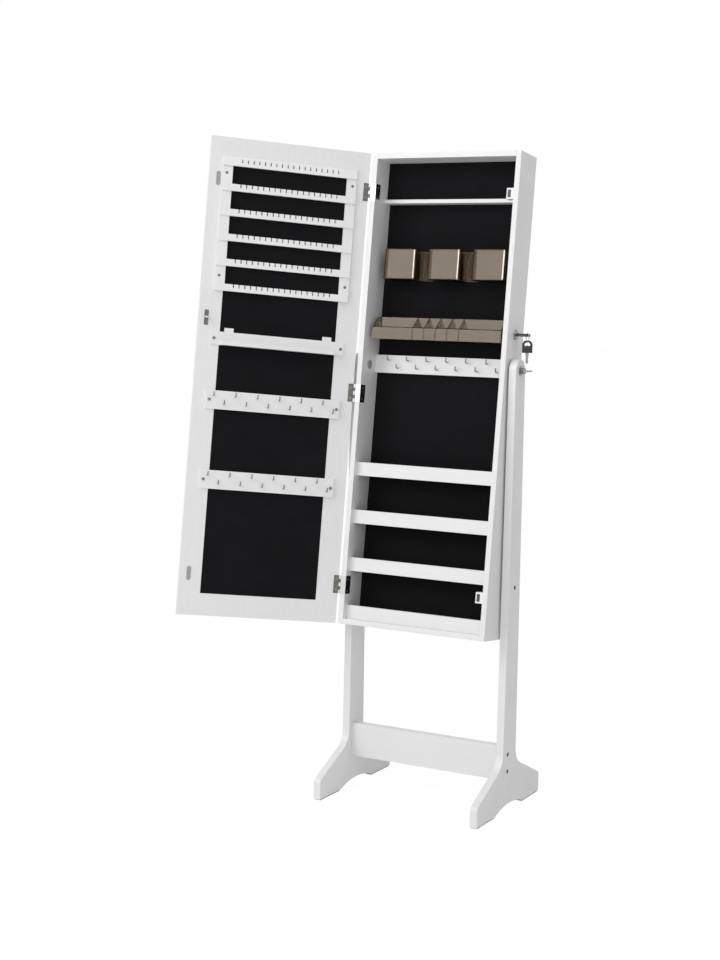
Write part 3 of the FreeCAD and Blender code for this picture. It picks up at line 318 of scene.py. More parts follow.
@dataclass(frozen=True)
class SmokyPaintedShade:
    """Where painted shade darkens the plastic of the cups and the tray, in the box's frame; metres and degrees.

    Each band gives where the painted shade starts and where it is full.
    """

    # front_turn and front_band paint shade on faces turned away from a front tilted to the right; the other bands
    # paint shade on the cups' rims, feet and left corners, on the plate behind the cups and along the tray's divider
    # seams. flow_depth sets the random flow clouds.
    front_turn: float = 15.0
    front_band: Band = (0.955, 0.83)
    cup_rim: float = 0.8455
    cup_foot: float = 0.7785
    cup_front: float = 0.029
    cup_half: float = 0.040
    cup_pitch: float = 0.109
    cup_margin: float = 2.0 * MM
    rim_band: Band = (-3.2 * MM, -1.6 * MM)
    foot_band: Band = (2.6 * MM, 1.2 * MM)
    rim_and_foot_shade: float = 0.8
    corner_band: Band = (12.6 * MM, 11.0 * MM)
    plate_band: Band = (20.0 * MM, 30.0 * MM)
    plate_shade: float = 0.95
    tray_front: float = 0.015
    tray_margin: float = 1.0 * MM
    dividers: int = 5
    divider_pitch: float = 0.0283
    seam_band: Band = (2.1 * MM, 1.0 * MM)
    seam_shade: float = 0.8
    flow_depth: float = 0.14
    # coat_loss thins the coat where the shade is painted.
    coat_loss: float = 0.88

    @staticmethod
    def measure(bench: NodeBench, axis: Sequence[float]) -> Socket:
        """Measure the surface along one of the box's axes.

        Args:
            bench: The group's bench.
            axis: The axis in the box's frame.

        Returns:
            The distance's value socket.
        """
        frame = STANCE.box()
        direction = frame.to_3x3() @ Vector(axis)
        place = bench.add("ShaderNodeTexCoord").outputs["Object"]
        return bench.maths("SUBTRACT", bench.along(place, direction), direction.dot(frame.translation))

    def sides(self, bench: NodeBench) -> Socket:
        """Mask the faces that turn away from the front, where shade is painted.

        Args:
            bench: The group's bench.

        Returns:
            The mask's value socket.
        """
        turn = math.radians(self.front_turn)
        ahead = STANCE.box().to_3x3() @ Vector((math.sin(turn), -math.cos(turn), 0.0))
        normal = bench.add("ShaderNodeTexCoord").outputs["Normal"]
        return bench.ramp(bench.along(normal, ahead), *self.front_band)

    def cup_painted_shade(self, bench: NodeBench, across: Socket, inward: Socket, level: Socket) -> Socket:
        """Mask the painted shade along the cups' rims, feet and left corners, and on the plate behind them.

        Args:
            bench: The group's bench.
            across: The distance from the box's middle.
            inward: The distance from the box's front edge.
            level: The distance from the box's bottom edge.

        Returns:
            The mask's value socket.
        """
        rim, foot = ([place + shift for shift in band]
                     for place, band in ((self.cup_rim, self.rim_band), (self.cup_foot, self.foot_band)))
        edge = bench.maths("PINGPONG", bench.maths("ADD", across, self.cup_half), self.cup_pitch / 2)
        behind = [self.cup_front + shift for shift in self.plate_band]
        # deep is the painted shade of the rims, feet, left corners and plate.
        deep = bench.highest(bench.ramp(level, *rim, self.rim_and_foot_shade), bench.ramp(level, *foot, self.rim_and_foot_shade),
                             bench.ramp(edge, *self.corner_band), bench.ramp(inward, *behind, self.plate_shade))
        return bench.maths("MULTIPLY", deep, bench.maths("GREATER_THAN", level, self.cup_foot - self.cup_margin))

    def tray_painted_seam_lines(self, bench: NodeBench, across: Socket, inward: Socket) -> Socket:
        """Mask the painted dark lines where the tray's dividers meet its front wall.

        Args:
            bench: The group's bench.
            across: The distance from the box's middle.
            inward: The distance from the box's front edge.

        Returns:
            The mask's value socket.
        """
        pitch = self.divider_pitch
        lines = bench.ramp(bench.maths("PINGPONG", across, pitch / 2), *self.seam_band, self.seam_shade)
        reach = bench.maths("LESS_THAN", bench.maths("ABSOLUTE", across), pitch * self.dividers / 2)
        outer = bench.maths("LESS_THAN", inward, self.tray_front + self.tray_margin)
        return bench.maths("MULTIPLY", lines, bench.maths("MULTIPLY", reach, outer))


class Surface(NamedTuple):
    """What the recipe of an effect gives: value sockets that change over the surface."""

    tone: Socket
    gloss: Socket
    height: Socket | None = None
    skin: Socket | None = None


class EffectShelf:
    """Builds each shared effect once and keeps it."""

    INPUTS = (("Colour", "NodeSocketColor"), ("Second Colour", "NodeSocketColor"),
              ("Roughness Low", "NodeSocketFloat"), ("Roughness High", "NodeSocketFloat"))
    UPRIGHT_GRAIN = (1.0, 1.0, 0.02)
    LEVEL_GRAIN = (0.02, 1.0, 1.0)

    def __init__(self) -> None:
        """Start with an empty shelf."""
        self.groups: dict[Effect, bpy.types.NodeTree] = {}
        self.recipes: dict[Effect, Callable[[NodeBench], Surface]] = {
            Effect.PAINT_FILM: partial(self.paint_film, grain=self.UPRIGHT_GRAIN),
            Effect.PAINT_FILM_LEVEL: partial(self.paint_film, grain=self.LEVEL_GRAIN),
            Effect.VELVET_NAP: self.velvet_nap,
            Effect.BRUSHED_GRAIN: self.brushed_grain,
            Effect.MOULDED_SKIN: self.moulded_skin,
            Effect.WOOD_FIBRE: self.wood_fibre,
            Effect.HANDLING_MARKS: self.handling_marks,
            Effect.SMOKE_FLOW_AND_PAINTED_SHADE: self.smoke_flow_and_painted_shade,
        }

    def get(self, effect: Effect) -> bpy.types.NodeTree:
        """Give the effect's node group.

        Args:
            effect: Which effect.

        Returns:
            The group, built at its first use.
        """
        if effect not in self.groups:
            self.groups[effect] = self.build(effect)
        return self.groups[effect]

    def build(self, effect: Effect) -> bpy.types.NodeTree:
        """Build one group: colour and roughness from two of each, with a height or a skin where it has one.

        Args:
            effect: Which effect.

        Returns:
            The new group.
        """
        group = bpy.data.node_groups.new(effect.value, "ShaderNodeTree")
        for name, kind in self.INPUTS:
            group.interface.new_socket(name=name, in_out="INPUT", socket_type=kind)
        bench = NodeBench(group)
        given = bench.add("NodeGroupInput").outputs
        result = bench.add("NodeGroupOutput")
        surface = self.recipes[effect](bench)
        colour = bench.tint(surface.tone, given["Colour"], given["Second Colour"])
        rough = bench.spread(surface.gloss, given["Roughness Low"], given["Roughness High"])
        outputs = (("Colour", "NodeSocketColor", colour), ("Roughness", "NodeSocketFloat", rough),
                   ("Height", "NodeSocketFloat", surface.height), ("Skin", "NodeSocketFloat", surface.skin))
        for name, kind, socket in outputs:
            if socket is not None:
                group.interface.new_socket(name=name, in_out="OUTPUT", socket_type=kind)
                bench.join(socket, result.inputs[name])
        return group

    @staticmethod
    def paint_film(bench: NodeBench, grain: Sequence[float]) -> Surface:
        """Sprayed lacquer: the board's grain shows faintly under a fine orange peel.

        Args:
            bench: The group's bench.
            grain: The grain's scale along each axis, small along the board.

        Returns:
            The effect's sockets.
        """
        drift = bench.spread(bench.noise(scale=5.0, detail=2.0), high=0.4)
        lines = bench.spread(bench.noise(scale=300.0, detail=2.0, stretch=grain), high=0.6)
        tone = bench.maths("ADD", drift, lines)
        return Surface(tone, bench.noise(scale=22.0, detail=3.0), bench.noise(scale=650.0, detail=2.0))

    @staticmethod
    def velvet_nap(bench: NodeBench) -> Surface:
        """Velvet: brushed nap marks over a short upright pile.

        Args:
            bench: The group's bench.

        Returns:
            The effect's sockets.
        """
        nap = bench.noise(scale=9.0, detail=4.0, stretch=(1.0, 1.0, 2.2), distortion=0.8)
        pile = bench.noise(scale=2600.0, detail=2.0)
        return Surface(bench.maths("MULTIPLY", bench.spread(nap), bench.spread(pile, low=0.55)), nap, pile)

    @staticmethod
    def brushed_grain(bench: NodeBench) -> Surface:
        """Rolled and plated metal: fine lines along its length."""
        lines = bench.noise(scale=900.0, detail=3.0, stretch=(1.0, 1.0, 0.06))
        return Surface(bench.spread(lines), bench.noise(scale=120.0, detail=3.0), lines)

    @staticmethod
    def moulded_skin(bench: NodeBench) -> Surface:
        """Moulded plastic: flow clouds and a fine tool texture.

        Args:
            bench: The group's bench.

        Returns:
            The effect's sockets.
        """
        flow = bench.noise(scale=30.0, detail=2.0, stretch=(1.0, 1.0, 0.5), distortion=0.6)
        cloud = bench.noise(scale=75.0, detail=3.0)
        return Surface(bench.spread(flow), cloud, bench.noise(scale=1500.0, detail=1.0))

    @staticmethod
    def wood_fibre(bench: NodeBench) -> Surface:
        """Pressed or sawn wood: long fibres and darker streaks.

        Args:
            bench: The group's bench.

        Returns:
            The effect's sockets.
        """
        fibre = bench.noise(scale=420.0, detail=4.0, stretch=(1.0, 1.0, 0.08))
        streak = bench.noise(scale=26.0, detail=3.0, stretch=(1.0, 1.0, 0.12), distortion=0.5)
        tone = bench.maths("MULTIPLY", bench.spread(fibre, low=0.2), bench.spread(streak, low=0.3))
        return Surface(tone, fibre, fibre)

    @staticmethod
    def handling_marks(bench: NodeBench) -> Surface:
        """Polished faces: faint wiping smears."""
        smear = bench.noise(scale=16.0, detail=4.0, stretch=(1.0, 1.0, 0.35), distortion=1.2)
        return Surface(bench.spread(smear), smear)

    @staticmethod
    def smoke_flow_and_painted_shade(bench: NodeBench) -> Surface:
        """Tinted clear plastic with random flow clouds: pale over the broad front faces, with painted shade along
        edges, sides and seams.

        Args:
            bench: The group's bench.

        Returns:
            The effect's sockets.
        """
        tint = SmokyPaintedShade()
        across, inward, level = (tint.measure(bench, axis) for axis in Matrix.Identity(3))
        flow = bench.noise(scale=26.0, detail=2.0, stretch=(1.0, 1.0, 0.4), distortion=0.6)
        # The tone is painted shade on sides, cup walls and divider seams, over random flow clouds.
        tone = bench.highest(tint.sides(bench), tint.cup_painted_shade(bench, across, inward, level),
                             tint.tray_painted_seam_lines(bench, across, inward), bench.spread(flow, high=tint.flow_depth))
        # The coat thins where the shade is painted.
        skin = bench.maths("SUBTRACT", 1.0, bench.maths("MULTIPLY", tone, tint.coat_loss))
        return Surface(tone, bench.noise(scale=75.0, detail=3.0), skin=skin)


@dataclass(frozen=True)
class Finish:
    """One surface finish: a shader with one shared effect in it."""

    name: str
    slot: Slot
    effect: Effect
    colour: Colour
    second: Colour
    rough: tuple[float, float]
    bump: float = 0.1
    bump_depth: float = 0.00005
    metallic: float = 0.0
    coat: float = 0.0
    coat_ior: float = 1.5
    sheen: float = 0.0
    alpha: float = 1.0
    specular: float = 0.5
    specular_tint: Colour = (1.0, 1.0, 1.0)
    ior: float = 1.5

    def material(self, shelf: EffectShelf) -> bpy.types.Material:
        """Build the finish's material, or give the one already built.

        Args:
            shelf: The shared effects.

        Returns:
            The material.
        """
        known = bpy.data.materials.get(self.name)
        if known:
            return known
        material = bpy.data.materials.new(self.name)
        material.use_nodes = True
        bench = NodeBench(material.node_tree)
        shader = material.node_tree.nodes["Principled BSDF"].inputs
        plain = {"Metallic": self.metallic, "Coat Weight": self.coat, "Coat IOR": self.coat_ior,
                 "Sheen Weight": self.sheen, "IOR": self.ior, "Specular IOR Level": self.specular,
                 "Specular Tint": (*self.specular_tint, 1.0), "Alpha": self.alpha}
        for name, value in plain.items():
            shader[name].default_value = value
        group = bench.add("ShaderNodeGroup", node_tree=shelf.get(self.effect))
        given = {"Colour": (*self.colour, 1.0), "Second Colour": (*self.second, 1.0),
                 "Roughness Low": self.rough[0], "Roughness High": self.rough[1]}
        for name, value in given.items():
            group.inputs[name].default_value = value
        bench.join(group.outputs["Colour"], shader["Base Color"])
        bench.join(group.outputs["Roughness"], shader["Roughness"])
        if "Height" in group.outputs:
            relief = bench.add("ShaderNodeBump")
            relief.inputs["Strength"].default_value = self.bump
            relief.inputs["Distance"].default_value = self.bump_depth
            bench.join(group.outputs["Height"], relief.inputs["Height"])
            bench.join(relief.outputs["Normal"], shader["Normal"])
        if "Skin" in group.outputs:
            bench.join(group.outputs["Skin"], shader["Coat Weight"])
        return material


LACQUER = Finish("white satin lacquer", Slot.LACQUER, Effect.PAINT_FILM, (0.81, 0.81, 0.81),
                 (0.768, 0.769, 0.771), (0.34, 0.46), bump=0.06, coat=0.08)
LEVEL_LACQUER = replace(LACQUER, name="white satin lacquer level", effect=Effect.PAINT_FILM_LEVEL)
WHITE_MOULDING = Finish("white smooth moulding", Slot.WHITE_PLASTIC, Effect.MOULDED_SKIN, (0.83, 0.83, 0.828),
                        (0.80, 0.80, 0.80), (0.28, 0.4), bump=0.05)
VELVET = Finish("black velvet", Slot.VELVET, Effect.VELVET_NAP, (0.0066, 0.0060, 0.0070),
                (0.0105, 0.0098, 0.0112), (0.85, 1.0), bump=0.5, bump_depth=0.0002, sheen=0.02, specular=0.08)
HARDBOARD = Finish("plain hardboard", Slot.BOARD, Effect.WOOD_FIBRE, (0.40, 0.29, 0.18), (0.27, 0.19, 0.115),
                   (0.6, 0.8), bump=0.3, bump_depth=0.0002)
# The second colour is painted shade, laid on the sides, rims, feet, left corners, the plate behind the cups and the
# divider seams.
SMOKE = Finish("smoky clear plastic", Slot.SMOKE, Effect.SMOKE_FLOW_AND_PAINTED_SHADE, (0.052, 0.032, 0.012),
               (0.020, 0.0125, 0.007), (0.04, 0.08), coat_ior=1.47, alpha=0.84, specular=0.19,
               specular_tint=(1.0, 0.76, 0.5), ior=1.7)
CHROME = Finish("polished chrome", Slot.METAL, Effect.HANDLING_MARKS, (0.26, 0.26, 0.262), (0.20, 0.20, 0.203),
                (0.06, 0.14), metallic=1.0)
NICKEL = Finish("nickel plate", Slot.METAL, Effect.BRUSHED_GRAIN, (0.38, 0.372, 0.358), (0.28, 0.275, 0.265),
                (0.24, 0.4), bump=0.08, metallic=1.0)
# A dark copy of the hinge metal, painted shade on the door's hinge leaves and the keeper.
SHADE_PAINTED_STEEL = Finish("steel darkened as painted shade", Slot.METAL, Effect.BRUSHED_GRAIN, (0.20, 0.193, 0.178),
                     (0.13, 0.125, 0.115), (0.22, 0.34), bump=0.08, metallic=1.0)
# A bright copy of the hinge metal, a painted highlight on the box's hinge leaves and the keeper's bridge.
HIGHLIGHT_PAINTED_PLATE = Finish("plate brightened as painted highlight", Slot.METAL, Effect.BRUSHED_GRAIN, (0.74, 0.735, 0.72),
                      (0.62, 0.615, 0.60), (0.16, 0.28), bump=0.05, metallic=1.0)
BLACK_OXIDE = Finish("blackened steel", Slot.BLACK_STEEL, Effect.BRUSHED_GRAIN, (0.03, 0.03, 0.031),
                     (0.018, 0.018, 0.019), (0.3, 0.45), metallic=0.6)
BLACK_MOULDING = Finish("black moulding", Slot.BLACK_PLASTIC, Effect.MOULDED_SKIN, (0.017, 0.017, 0.018),
                        (0.026, 0.026, 0.027), (0.3, 0.45), bump=0.2)
GREY_PAD = Finish("grey glide pad", Slot.BLACK_PLASTIC, Effect.MOULDED_SKIN, (0.16, 0.16, 0.16),
                  (0.12, 0.12, 0.12), (0.5, 0.7), bump=0.3)
MAGNET = Finish("bare magnet", Slot.MAGNET, Effect.BRUSHED_GRAIN, (0.10, 0.10, 0.10), (0.06, 0.06, 0.06),
                (0.4, 0.6), metallic=0.8)
BEECH = Finish("bare beech", Slot.BEECH, Effect.WOOD_FIBRE, (0.55, 0.38, 0.22), (0.42, 0.28, 0.16),
               (0.5, 0.7), bump=0.2)
SILVERED = Finish("silvered glass", Slot.MIRROR, Effect.HANDLING_MARKS, (0.86, 0.88, 0.88), (0.84, 0.86, 0.865),
                  (0.012, 0.03), metallic=1.0)


def welded(mesh: bpy.types.Mesh) -> bmesh.types.BMesh:
    """Copy a mesh and join the points that lie on each other.

    Args:
        mesh: The mesh.

    Returns:
        The welded shape, for the caller to free.
    """
    shape = bmesh.new()
    shape.from_mesh(mesh)
    bmesh.ops.remove_doubles(shape, verts=shape.verts, dist=WELD)
    return shape


def mesh_of(name: str, shape: bmesh.types.BMesh) -> bpy.types.Mesh:
    """Turn a shape into a mesh and free it.

    Args:
        name: The mesh's name.
        shape: The shape.

    Returns:
        The mesh.
    """
    mesh = bpy.data.meshes.new(name)
    shape.to_mesh(mesh)
    shape.free()
    return mesh


def wall(shape: bmesh.types.BMesh, first: Sequence[bmesh.types.BMVert], second: Sequence[bmesh.types.BMVert]) -> None:
    """Close the gap between two loops of points with faces.

    Args:
        shape: The shape to add to.
        first: One loop.
        second: The other, with as many points.
    """
    for step in range(len(first)):
        follow = (step + 1) % len(first)
        shape.faces.new((first[step], first[follow], second[follow], second[step]))


def facing(spot: Sequence[float], way: Outward) -> Matrix:
    """A frame at a spot whose Z points outward."""
    axis, turn = way.value
    return Matrix.Translation(spot) @ Matrix.Rotation(math.radians(turn), 4, axis)


def islands(mesh: bpy.types.Mesh, into: Matrix) -> list[tuple[Vector, Vector]]:
    """Find a node's separate solids.

    Args:
        mesh: The node's mesh.
        into: The frame to measure in, from the row frame.

    Returns:
        The lowest and highest corner of each solid.
    """
    shape = welded(mesh)
    shape.transform(into)
    left = set(shape.verts)
    found = []
    while left:
        edge = [left.pop()]
        group = list(edge)
        while edge:
            point = edge.pop()
            for link in point.link_edges:
                other = link.other_vert(point)
                if other in left:
                    left.remove(other)
                    edge.append(other)
                    group.append(other)
        found.append(tuple(Vector([pick(point.co[axis] for point in group) for axis in range(3)])
                           for pick in (min, max)))
    shape.free()
    return sorted(found, key=lambda corners: tuple(round(value, 5) for value in corners[0]))


@dataclass
class Workshop:
    """The loaded frame with the means to finish its pieces; angles in degrees."""

    frame: dict
    shelf: EffectShelf
    flat_angle: float = 0.5
    edge_angle: float = 32.0
    face_weight: int = 100
    body_of_node: dict[str, str] = field(default_factory=dict)

    def __post_init__(self) -> None:
        """Note each node's body."""
        for body, nodes in self.frame["record"]["behaviour"]["bodies"].items():
            self.body_of_node.update((node, body) for node in nodes)

    def mesh(self, node: str) -> bpy.types.Mesh:
        """The mesh of a CAD node."""
        return self.frame["nodes"][node].data

    def paint(self, nodes: Iterable[str], finish: Finish) -> None:
        """Put a finish on CAD nodes that stay as they are.

        Args:
            nodes: Node names.
            finish: Their finish.
        """
        for name in nodes:
            materials = self.mesh(name).materials
            materials.clear()
            materials.append(finish.material(self.shelf))
            LOG.info("%s: %s", name, finish.name)

    def add(self, mesh: bpy.types.Mesh, finish: Finish, body: str, place: Matrix | None = None) -> bpy.types.Object:
        """Add a piece that rides on a body and has its mesh's name.

        Args:
            mesh: Its mesh.
            finish: Its finish.
            body: The body it rides on.
            place: Its frame, or none for the row frame.

        Returns:
            The piece.
        """
        if place is not None:
            mesh.transform(place)
        piece = bpy.data.objects.new(mesh.name, mesh)
        bpy.context.scene.collection.objects.link(piece)
        mesh.materials.append(finish.material(self.shelf))
        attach(piece, body)
        LOG.info("%s: %s on %s", piece.name, finish.name, body)
        return piece

    def ease(self, nodes: Iterable[str], finish: Finish, radius: float, steps: int = 2) -> list[bpy.types.Object]:
        """Replace nodes by the same shapes with eased edges, as sanding and spraying leave them.

        Args:
            nodes: Node names.
            finish: Their finish.
            radius: The edge radius in metres.
            steps: Segments across each edge.

        Returns:
            The eased pieces.
        """
        pieces = []
        for name in nodes:
            shape = welded(self.mesh(name))
            bmesh.ops.dissolve_limit(shape, angle_limit=math.radians(self.flat_angle), verts=shape.verts,
                                     edges=shape.edges)
            for face in shape.faces:
                face.smooth = True
            piece = self.add(mesh_of(f"{name}.eased", shape), finish, self.body_of_node[name])
            edge = piece.modifiers.new("eased edges", "BEVEL")
            edge.width = radius
            edge.segments = steps
            edge.limit_method = "ANGLE"
            edge.angle_limit = math.radians(self.edge_angle)
            flat = piece.modifiers.new("flat faces", "WEIGHTED_NORMAL")
            flat.weight = self.face_weight
            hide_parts(name)
            pieces.append(piece)
        return pieces


@dataclass(frozen=True)
class CrossHead:
    """A domed screw head with a cross recess, standing on the XY plane; metres and degrees."""

    radius: float
    height: float
    recess: float
    sides: int = 32
    dome: tuple[Band, ...] = ((1.0, 0.0), (1.0, 0.35), (0.9, 0.8), (0.72, 1.0))
    mouth_share: float = 0.58
    floor_share: float = 0.42
    arm_share: float = 0.28
    crease: float = 35.0

    def ring(self, shape: bmesh.types.BMesh, radius: float, level: float) -> list[bmesh.types.BMVert]:
        """Add a ring of points."""
        turns = [2 * math.pi * step / self.sides for step in range(self.sides)]
        return [shape.verts.new((radius * math.cos(turn), radius * math.sin(turn), level)) for turn in turns]

    def cross(self, shape: bmesh.types.BMesh, share: float, level: float) -> list[bmesh.types.BMVert]:
        """Add the outline of the cross.

        Args:
            shape: The shape to add to.
            share: The cross's reach as a share of the radius.
            level: Its height.

        Returns:
            The points in order.
        """
        arm, half = self.radius * share, self.radius * share * self.arm_share
        corners = [(half, half), (arm, half), (arm, -half)]
        outline = []
        for _ in range(4):
            outline.extend(corners)
            corners = [(y, -x) for x, y in corners]
        return [shape.verts.new((x, y, level)) for x, y in outline]

    def build(self, shape: bmesh.types.BMesh, place: Matrix) -> None:
        """Add one head.

        Args:
            shape: The shape to add to.
            place: The head's frame.
        """
        rings = [self.ring(shape, self.radius * share, self.height * level) for share, level in self.dome]
        mouth = self.cross(shape, self.mouth_share, self.height)
        floor = self.cross(shape, self.floor_share, self.height - self.recess)
        for low, high in (*zip(rings, rings[1:]), (mouth, floor)):
            wall(shape, low, high)
        shape.faces.new(floor)
        loops = []
        for loop in (rings[-1], mouth):
            for pair in zip(loop[-1:] + loop, loop):
                loops.append(shape.edges.get(pair) or shape.edges.new(pair))
        bmesh.ops.triangle_fill(shape, edges=loops, use_beauty=True)
        points = [point for loop in (*rings, mouth, floor) for point in loop]
        bmesh.ops.transform(shape, matrix=place, verts=points)

    def set_of(self, name: str, places: Iterable[Matrix]) -> bpy.types.Mesh:
        """Build many heads as one mesh.

        Args:
            name: The mesh's name.
            places: The heads' frames.

        Returns:
            The mesh.
        """
        shape = bmesh.new()
        for place in places:
            self.build(shape, place)
        bmesh.ops.recalc_face_normals(shape, faces=shape.faces)
        mesh = mesh_of(name, shape)
        mesh.shade_smooth()
        mesh.set_sharp_from_angle(angle=math.radians(self.crease))
        return mesh


@dataclass
class SubAssembly:
    """A group of pieces that is finished together; its sizes are in metres and degrees."""

    shop: Workshop

    def dress(self) -> None:
        """Finish the group's pieces."""
        raise NotImplementedError


@dataclass
class Stand(SubAssembly):
    """Posts, feet, bars and bolts."""

    post_edge: float = 0.35 * MM
    bar_edge: float = 1.2 * MM

    def dress(self) -> None:
        """Finish the stand."""
        self.shop.ease(("right_post", "left_post", "right_foot", "left_foot"), LACQUER, self.post_edge)
        self.shop.ease(("lower_crossbar", "rear_rail"), LEVEL_LACQUER, self.bar_edge)
        self.shop.paint(("foot_dowels",), BEECH)
        self.shop.paint(("barrel_nuts", "wing_washers", "right_wing_bolt", "left_wing_bolt"), NICKEL)
        self.shop.paint(("stand_bolts",), BLACK_OXIDE)
        self.shop.paint(("pivot_spacers",), BLACK_MOULDING)
        self.shop.paint(("foot_glides",), GREY_PAD)


@dataclass
class CabinetBox(SubAssembly):
    """The lacquered box, its velvet and its shelves."""

    panel_edge: float = 0.7 * MM
    rail_edge: float = 0.6 * MM
    catch_edge: float = 0.8 * MM
    staple_half: float = 5.5 * MM
    staple_wire: float = 0.55 * MM
    staple_inset: float = 5.0 * MM
    staple_sides: int = 6
    crown_share: float = 0.93
    crown_rise: float = 0.35
    crown_flat: float = 0.5
    corner_turn: float = 45.0
    side_bays: int = 9
    end_bays: int = 4
    hinge_screw: CrossHead = CrossHead(2.7 * MM, 0.35 * MM, 0.3 * MM)
    screw_spread: float = 12.0 * MM
    screw_setback: float = 11.0 * MM

    def dress(self) -> None:
        """Finish the box."""
        self.shop.ease(("right_side_panel", "left_side_panel"), LACQUER, self.panel_edge)
        self.shop.ease(("top_panel", "bottom_panel"), LEVEL_LACQUER, self.panel_edge)
        self.shop.ease(("top_shelf", "bottom_rail", "shelf_rail_1", "shelf_rail_2", "shelf_rail_3",
                        "cabinet_hook_strip"), LEVEL_LACQUER, self.rail_edge)
        self.shop.paint(("back_panel",), HARDBOARD)
        self.shop.paint(("back_lining", "upper_lining", "shelf_1", "shelf_2", "shelf_3"), VELVET)
        self.shop.paint(("pivot_inserts", "hinge_pins"), NICKEL)
        # The box's hinge leaves get the bright copy of the metal as a painted highlight.
        self.shop.paint(("hinge_cabinet_leaves",), HIGHLIGHT_PAINTED_PLATE)
        self.shop.paint(("cabinet_hooks",), CHROME)
        self.shop.ease(("catch_housings",), WHITE_MOULDING, self.catch_edge)
        self.shop.paint(("catch_magnets",), MAGNET)
        self.fasten_back()
        self.fasten_hinges()

    def fasten_back(self) -> None:
        """Staple the back board to the box all round."""
        low, high = islands(self.shop.mesh("back_panel"), STANCE.box().inverted())[0]
        shape = bmesh.new()
        inset = self.staple_inset
        for step in range(self.side_bays + 1):
            rise = low.z + inset + (high.z - low.z - 2 * inset) * step / self.side_bays
            turn = 90.0 if 0 < step < self.side_bays else self.corner_turn
            for across in (low.x + inset, high.x - inset):
                self.staple(shape, (across, high.y, rise), turn)
        for step in range(1, self.end_bays):
            across = low.x + (high.x - low.x) * step / self.end_bays
            for rise in (low.z + inset, high.z - inset):
                self.staple(shape, (across, high.y, rise), 0.0)
        mesh = mesh_of("back_staples", shape)
        mesh.shade_smooth()
        self.shop.add(mesh, NICKEL, "cabinet", STANCE.box())

    def staple(self, shape: bmesh.types.BMesh, spot: Sequence[float], turn: float) -> None:
        """Add one staple crown with its shoulders bent into the board.

        Args:
            shape: The shape to add to.
            spot: The middle of the crown on the board.
            turn: Its turn on the board.
        """
        half, wire = self.staple_half, self.staple_wire
        shoulder, rise = half * self.crown_share, wire * self.crown_rise
        place = Matrix.Translation(spot) @ Matrix.Rotation(math.radians(turn), 4, "Y")
        angles = [2 * math.pi * step / self.staple_sides for step in range(self.staple_sides)]
        rings = []
        for along, out in ((-half, -wire), (-shoulder, rise), (shoulder, rise), (half, -wire)):
            ring = [Vector((along, out + wire * self.crown_flat * math.sin(angle), wire * math.cos(angle)))
                    for angle in angles]
            rings.append([shape.verts.new(place @ point) for point in ring])
        for first, second in zip(rings, rings[1:]):
            wall(shape, first, second)

    def fasten_hinges(self) -> None:
        """Set the countersunk screws in the inner hinge leaves."""
        places = []
        for low, high in islands(self.shop.mesh("hinge_cabinet_leaves"), STANCE.box().inverted()):
            for rise in (-self.screw_spread, self.screw_spread):
                spot = (high.x, self.screw_setback, (low.z + high.z) / 2 + rise)
                places.append(facing(spot, Outward.ALONG_X))
        self.shop.add(self.hinge_screw.set_of("inner_hinge_screws", places), CHROME, "cabinet", STANCE.box())


@dataclass
class Organisers(SubAssembly):
    """The smoky cups and the divided tray."""

    edge: float = 0.5 * MM

    def dress(self) -> None:
        """Finish the organisers."""
        self.shop.ease(("cup_organiser", "divider_tray"), SMOKE, self.edge)


@dataclass
class LockAndKeys(SubAssembly):
    """The cam lock, the key in it and the spare key on the ring; the blade's outline is in millimetres."""

    lock_edge: float = 0.4 * MM
    key_edge: float = 0.3 * MM
    bow_edge: float = 0.9 * MM
    round_steps: int = 3
    face_turn: float = 61.0
    blade_thickness: float = 2.0 * MM
    milled_margin: float = 0.75 * MM
    milled_depth: float = 0.35 * MM
    blade_outline: tuple[Band, ...] = (
        (-3.7, 0.0), (3.7, 0.0), (3.7, -4.0), (2.9, -5.2), (2.9, -8.0), (1.5, -9.3), (2.9, -10.6), (2.9, -12.6),
        (1.8, -13.8), (1.8, -15.2), (2.9, -16.4), (2.9, -19.6), (1.3, -23.2), (-0.5, -24.0), (-2.9, -21.6),
        (-2.9, -5.2), (-3.7, -4.0))

    def dress(self) -> None:
        """Finish the lock and keys."""
        self.shop.ease(("lock_housing", "lock_plug"), CHROME, self.lock_edge, self.round_steps)
        self.shop.paint(("lock_cam", "key_ring"), NICKEL)
        self.shop.ease(("main_key_blade",), NICKEL, self.key_edge)
        self.shop.ease(("main_key_bow", "spare_key_bow"), BLACK_MOULDING, self.bow_edge, self.round_steps)
        self.cut_blade()

    def cut_blade(self) -> None:
        """Shape the spare key's blade: shoulders, wards on one edge, a milled face and a rounded tip."""
        low, high = (Vector(corner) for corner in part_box("spare_key_blade"))
        turn = Matrix.Rotation(math.radians(90.0 - self.face_turn), 4, "Z")
        top = Vector(((low.x + high.x) / 2, (low.y + high.y) / 2, high.z))
        shape = bmesh.new()
        half = self.blade_thickness / 2
        front, back = ([shape.verts.new((across * MM, side, rise * MM)) for across, rise in self.blade_outline]
                       for side in (-half, half))
        faces = [shape.faces.new(front), shape.faces.new(list(reversed(back)))]
        wall(shape, back, front)
        bmesh.ops.recalc_face_normals(shape, faces=shape.faces)
        bmesh.ops.inset_individual(shape, faces=faces, thickness=self.milled_margin, depth=-self.milled_depth)
        mesh = mesh_of("spare_key_blade.cut", shape)
        piece = self.shop.add(mesh, NICKEL, "spare_key", Matrix.Translation(top) @ turn)
        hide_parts("spare_key_blade")


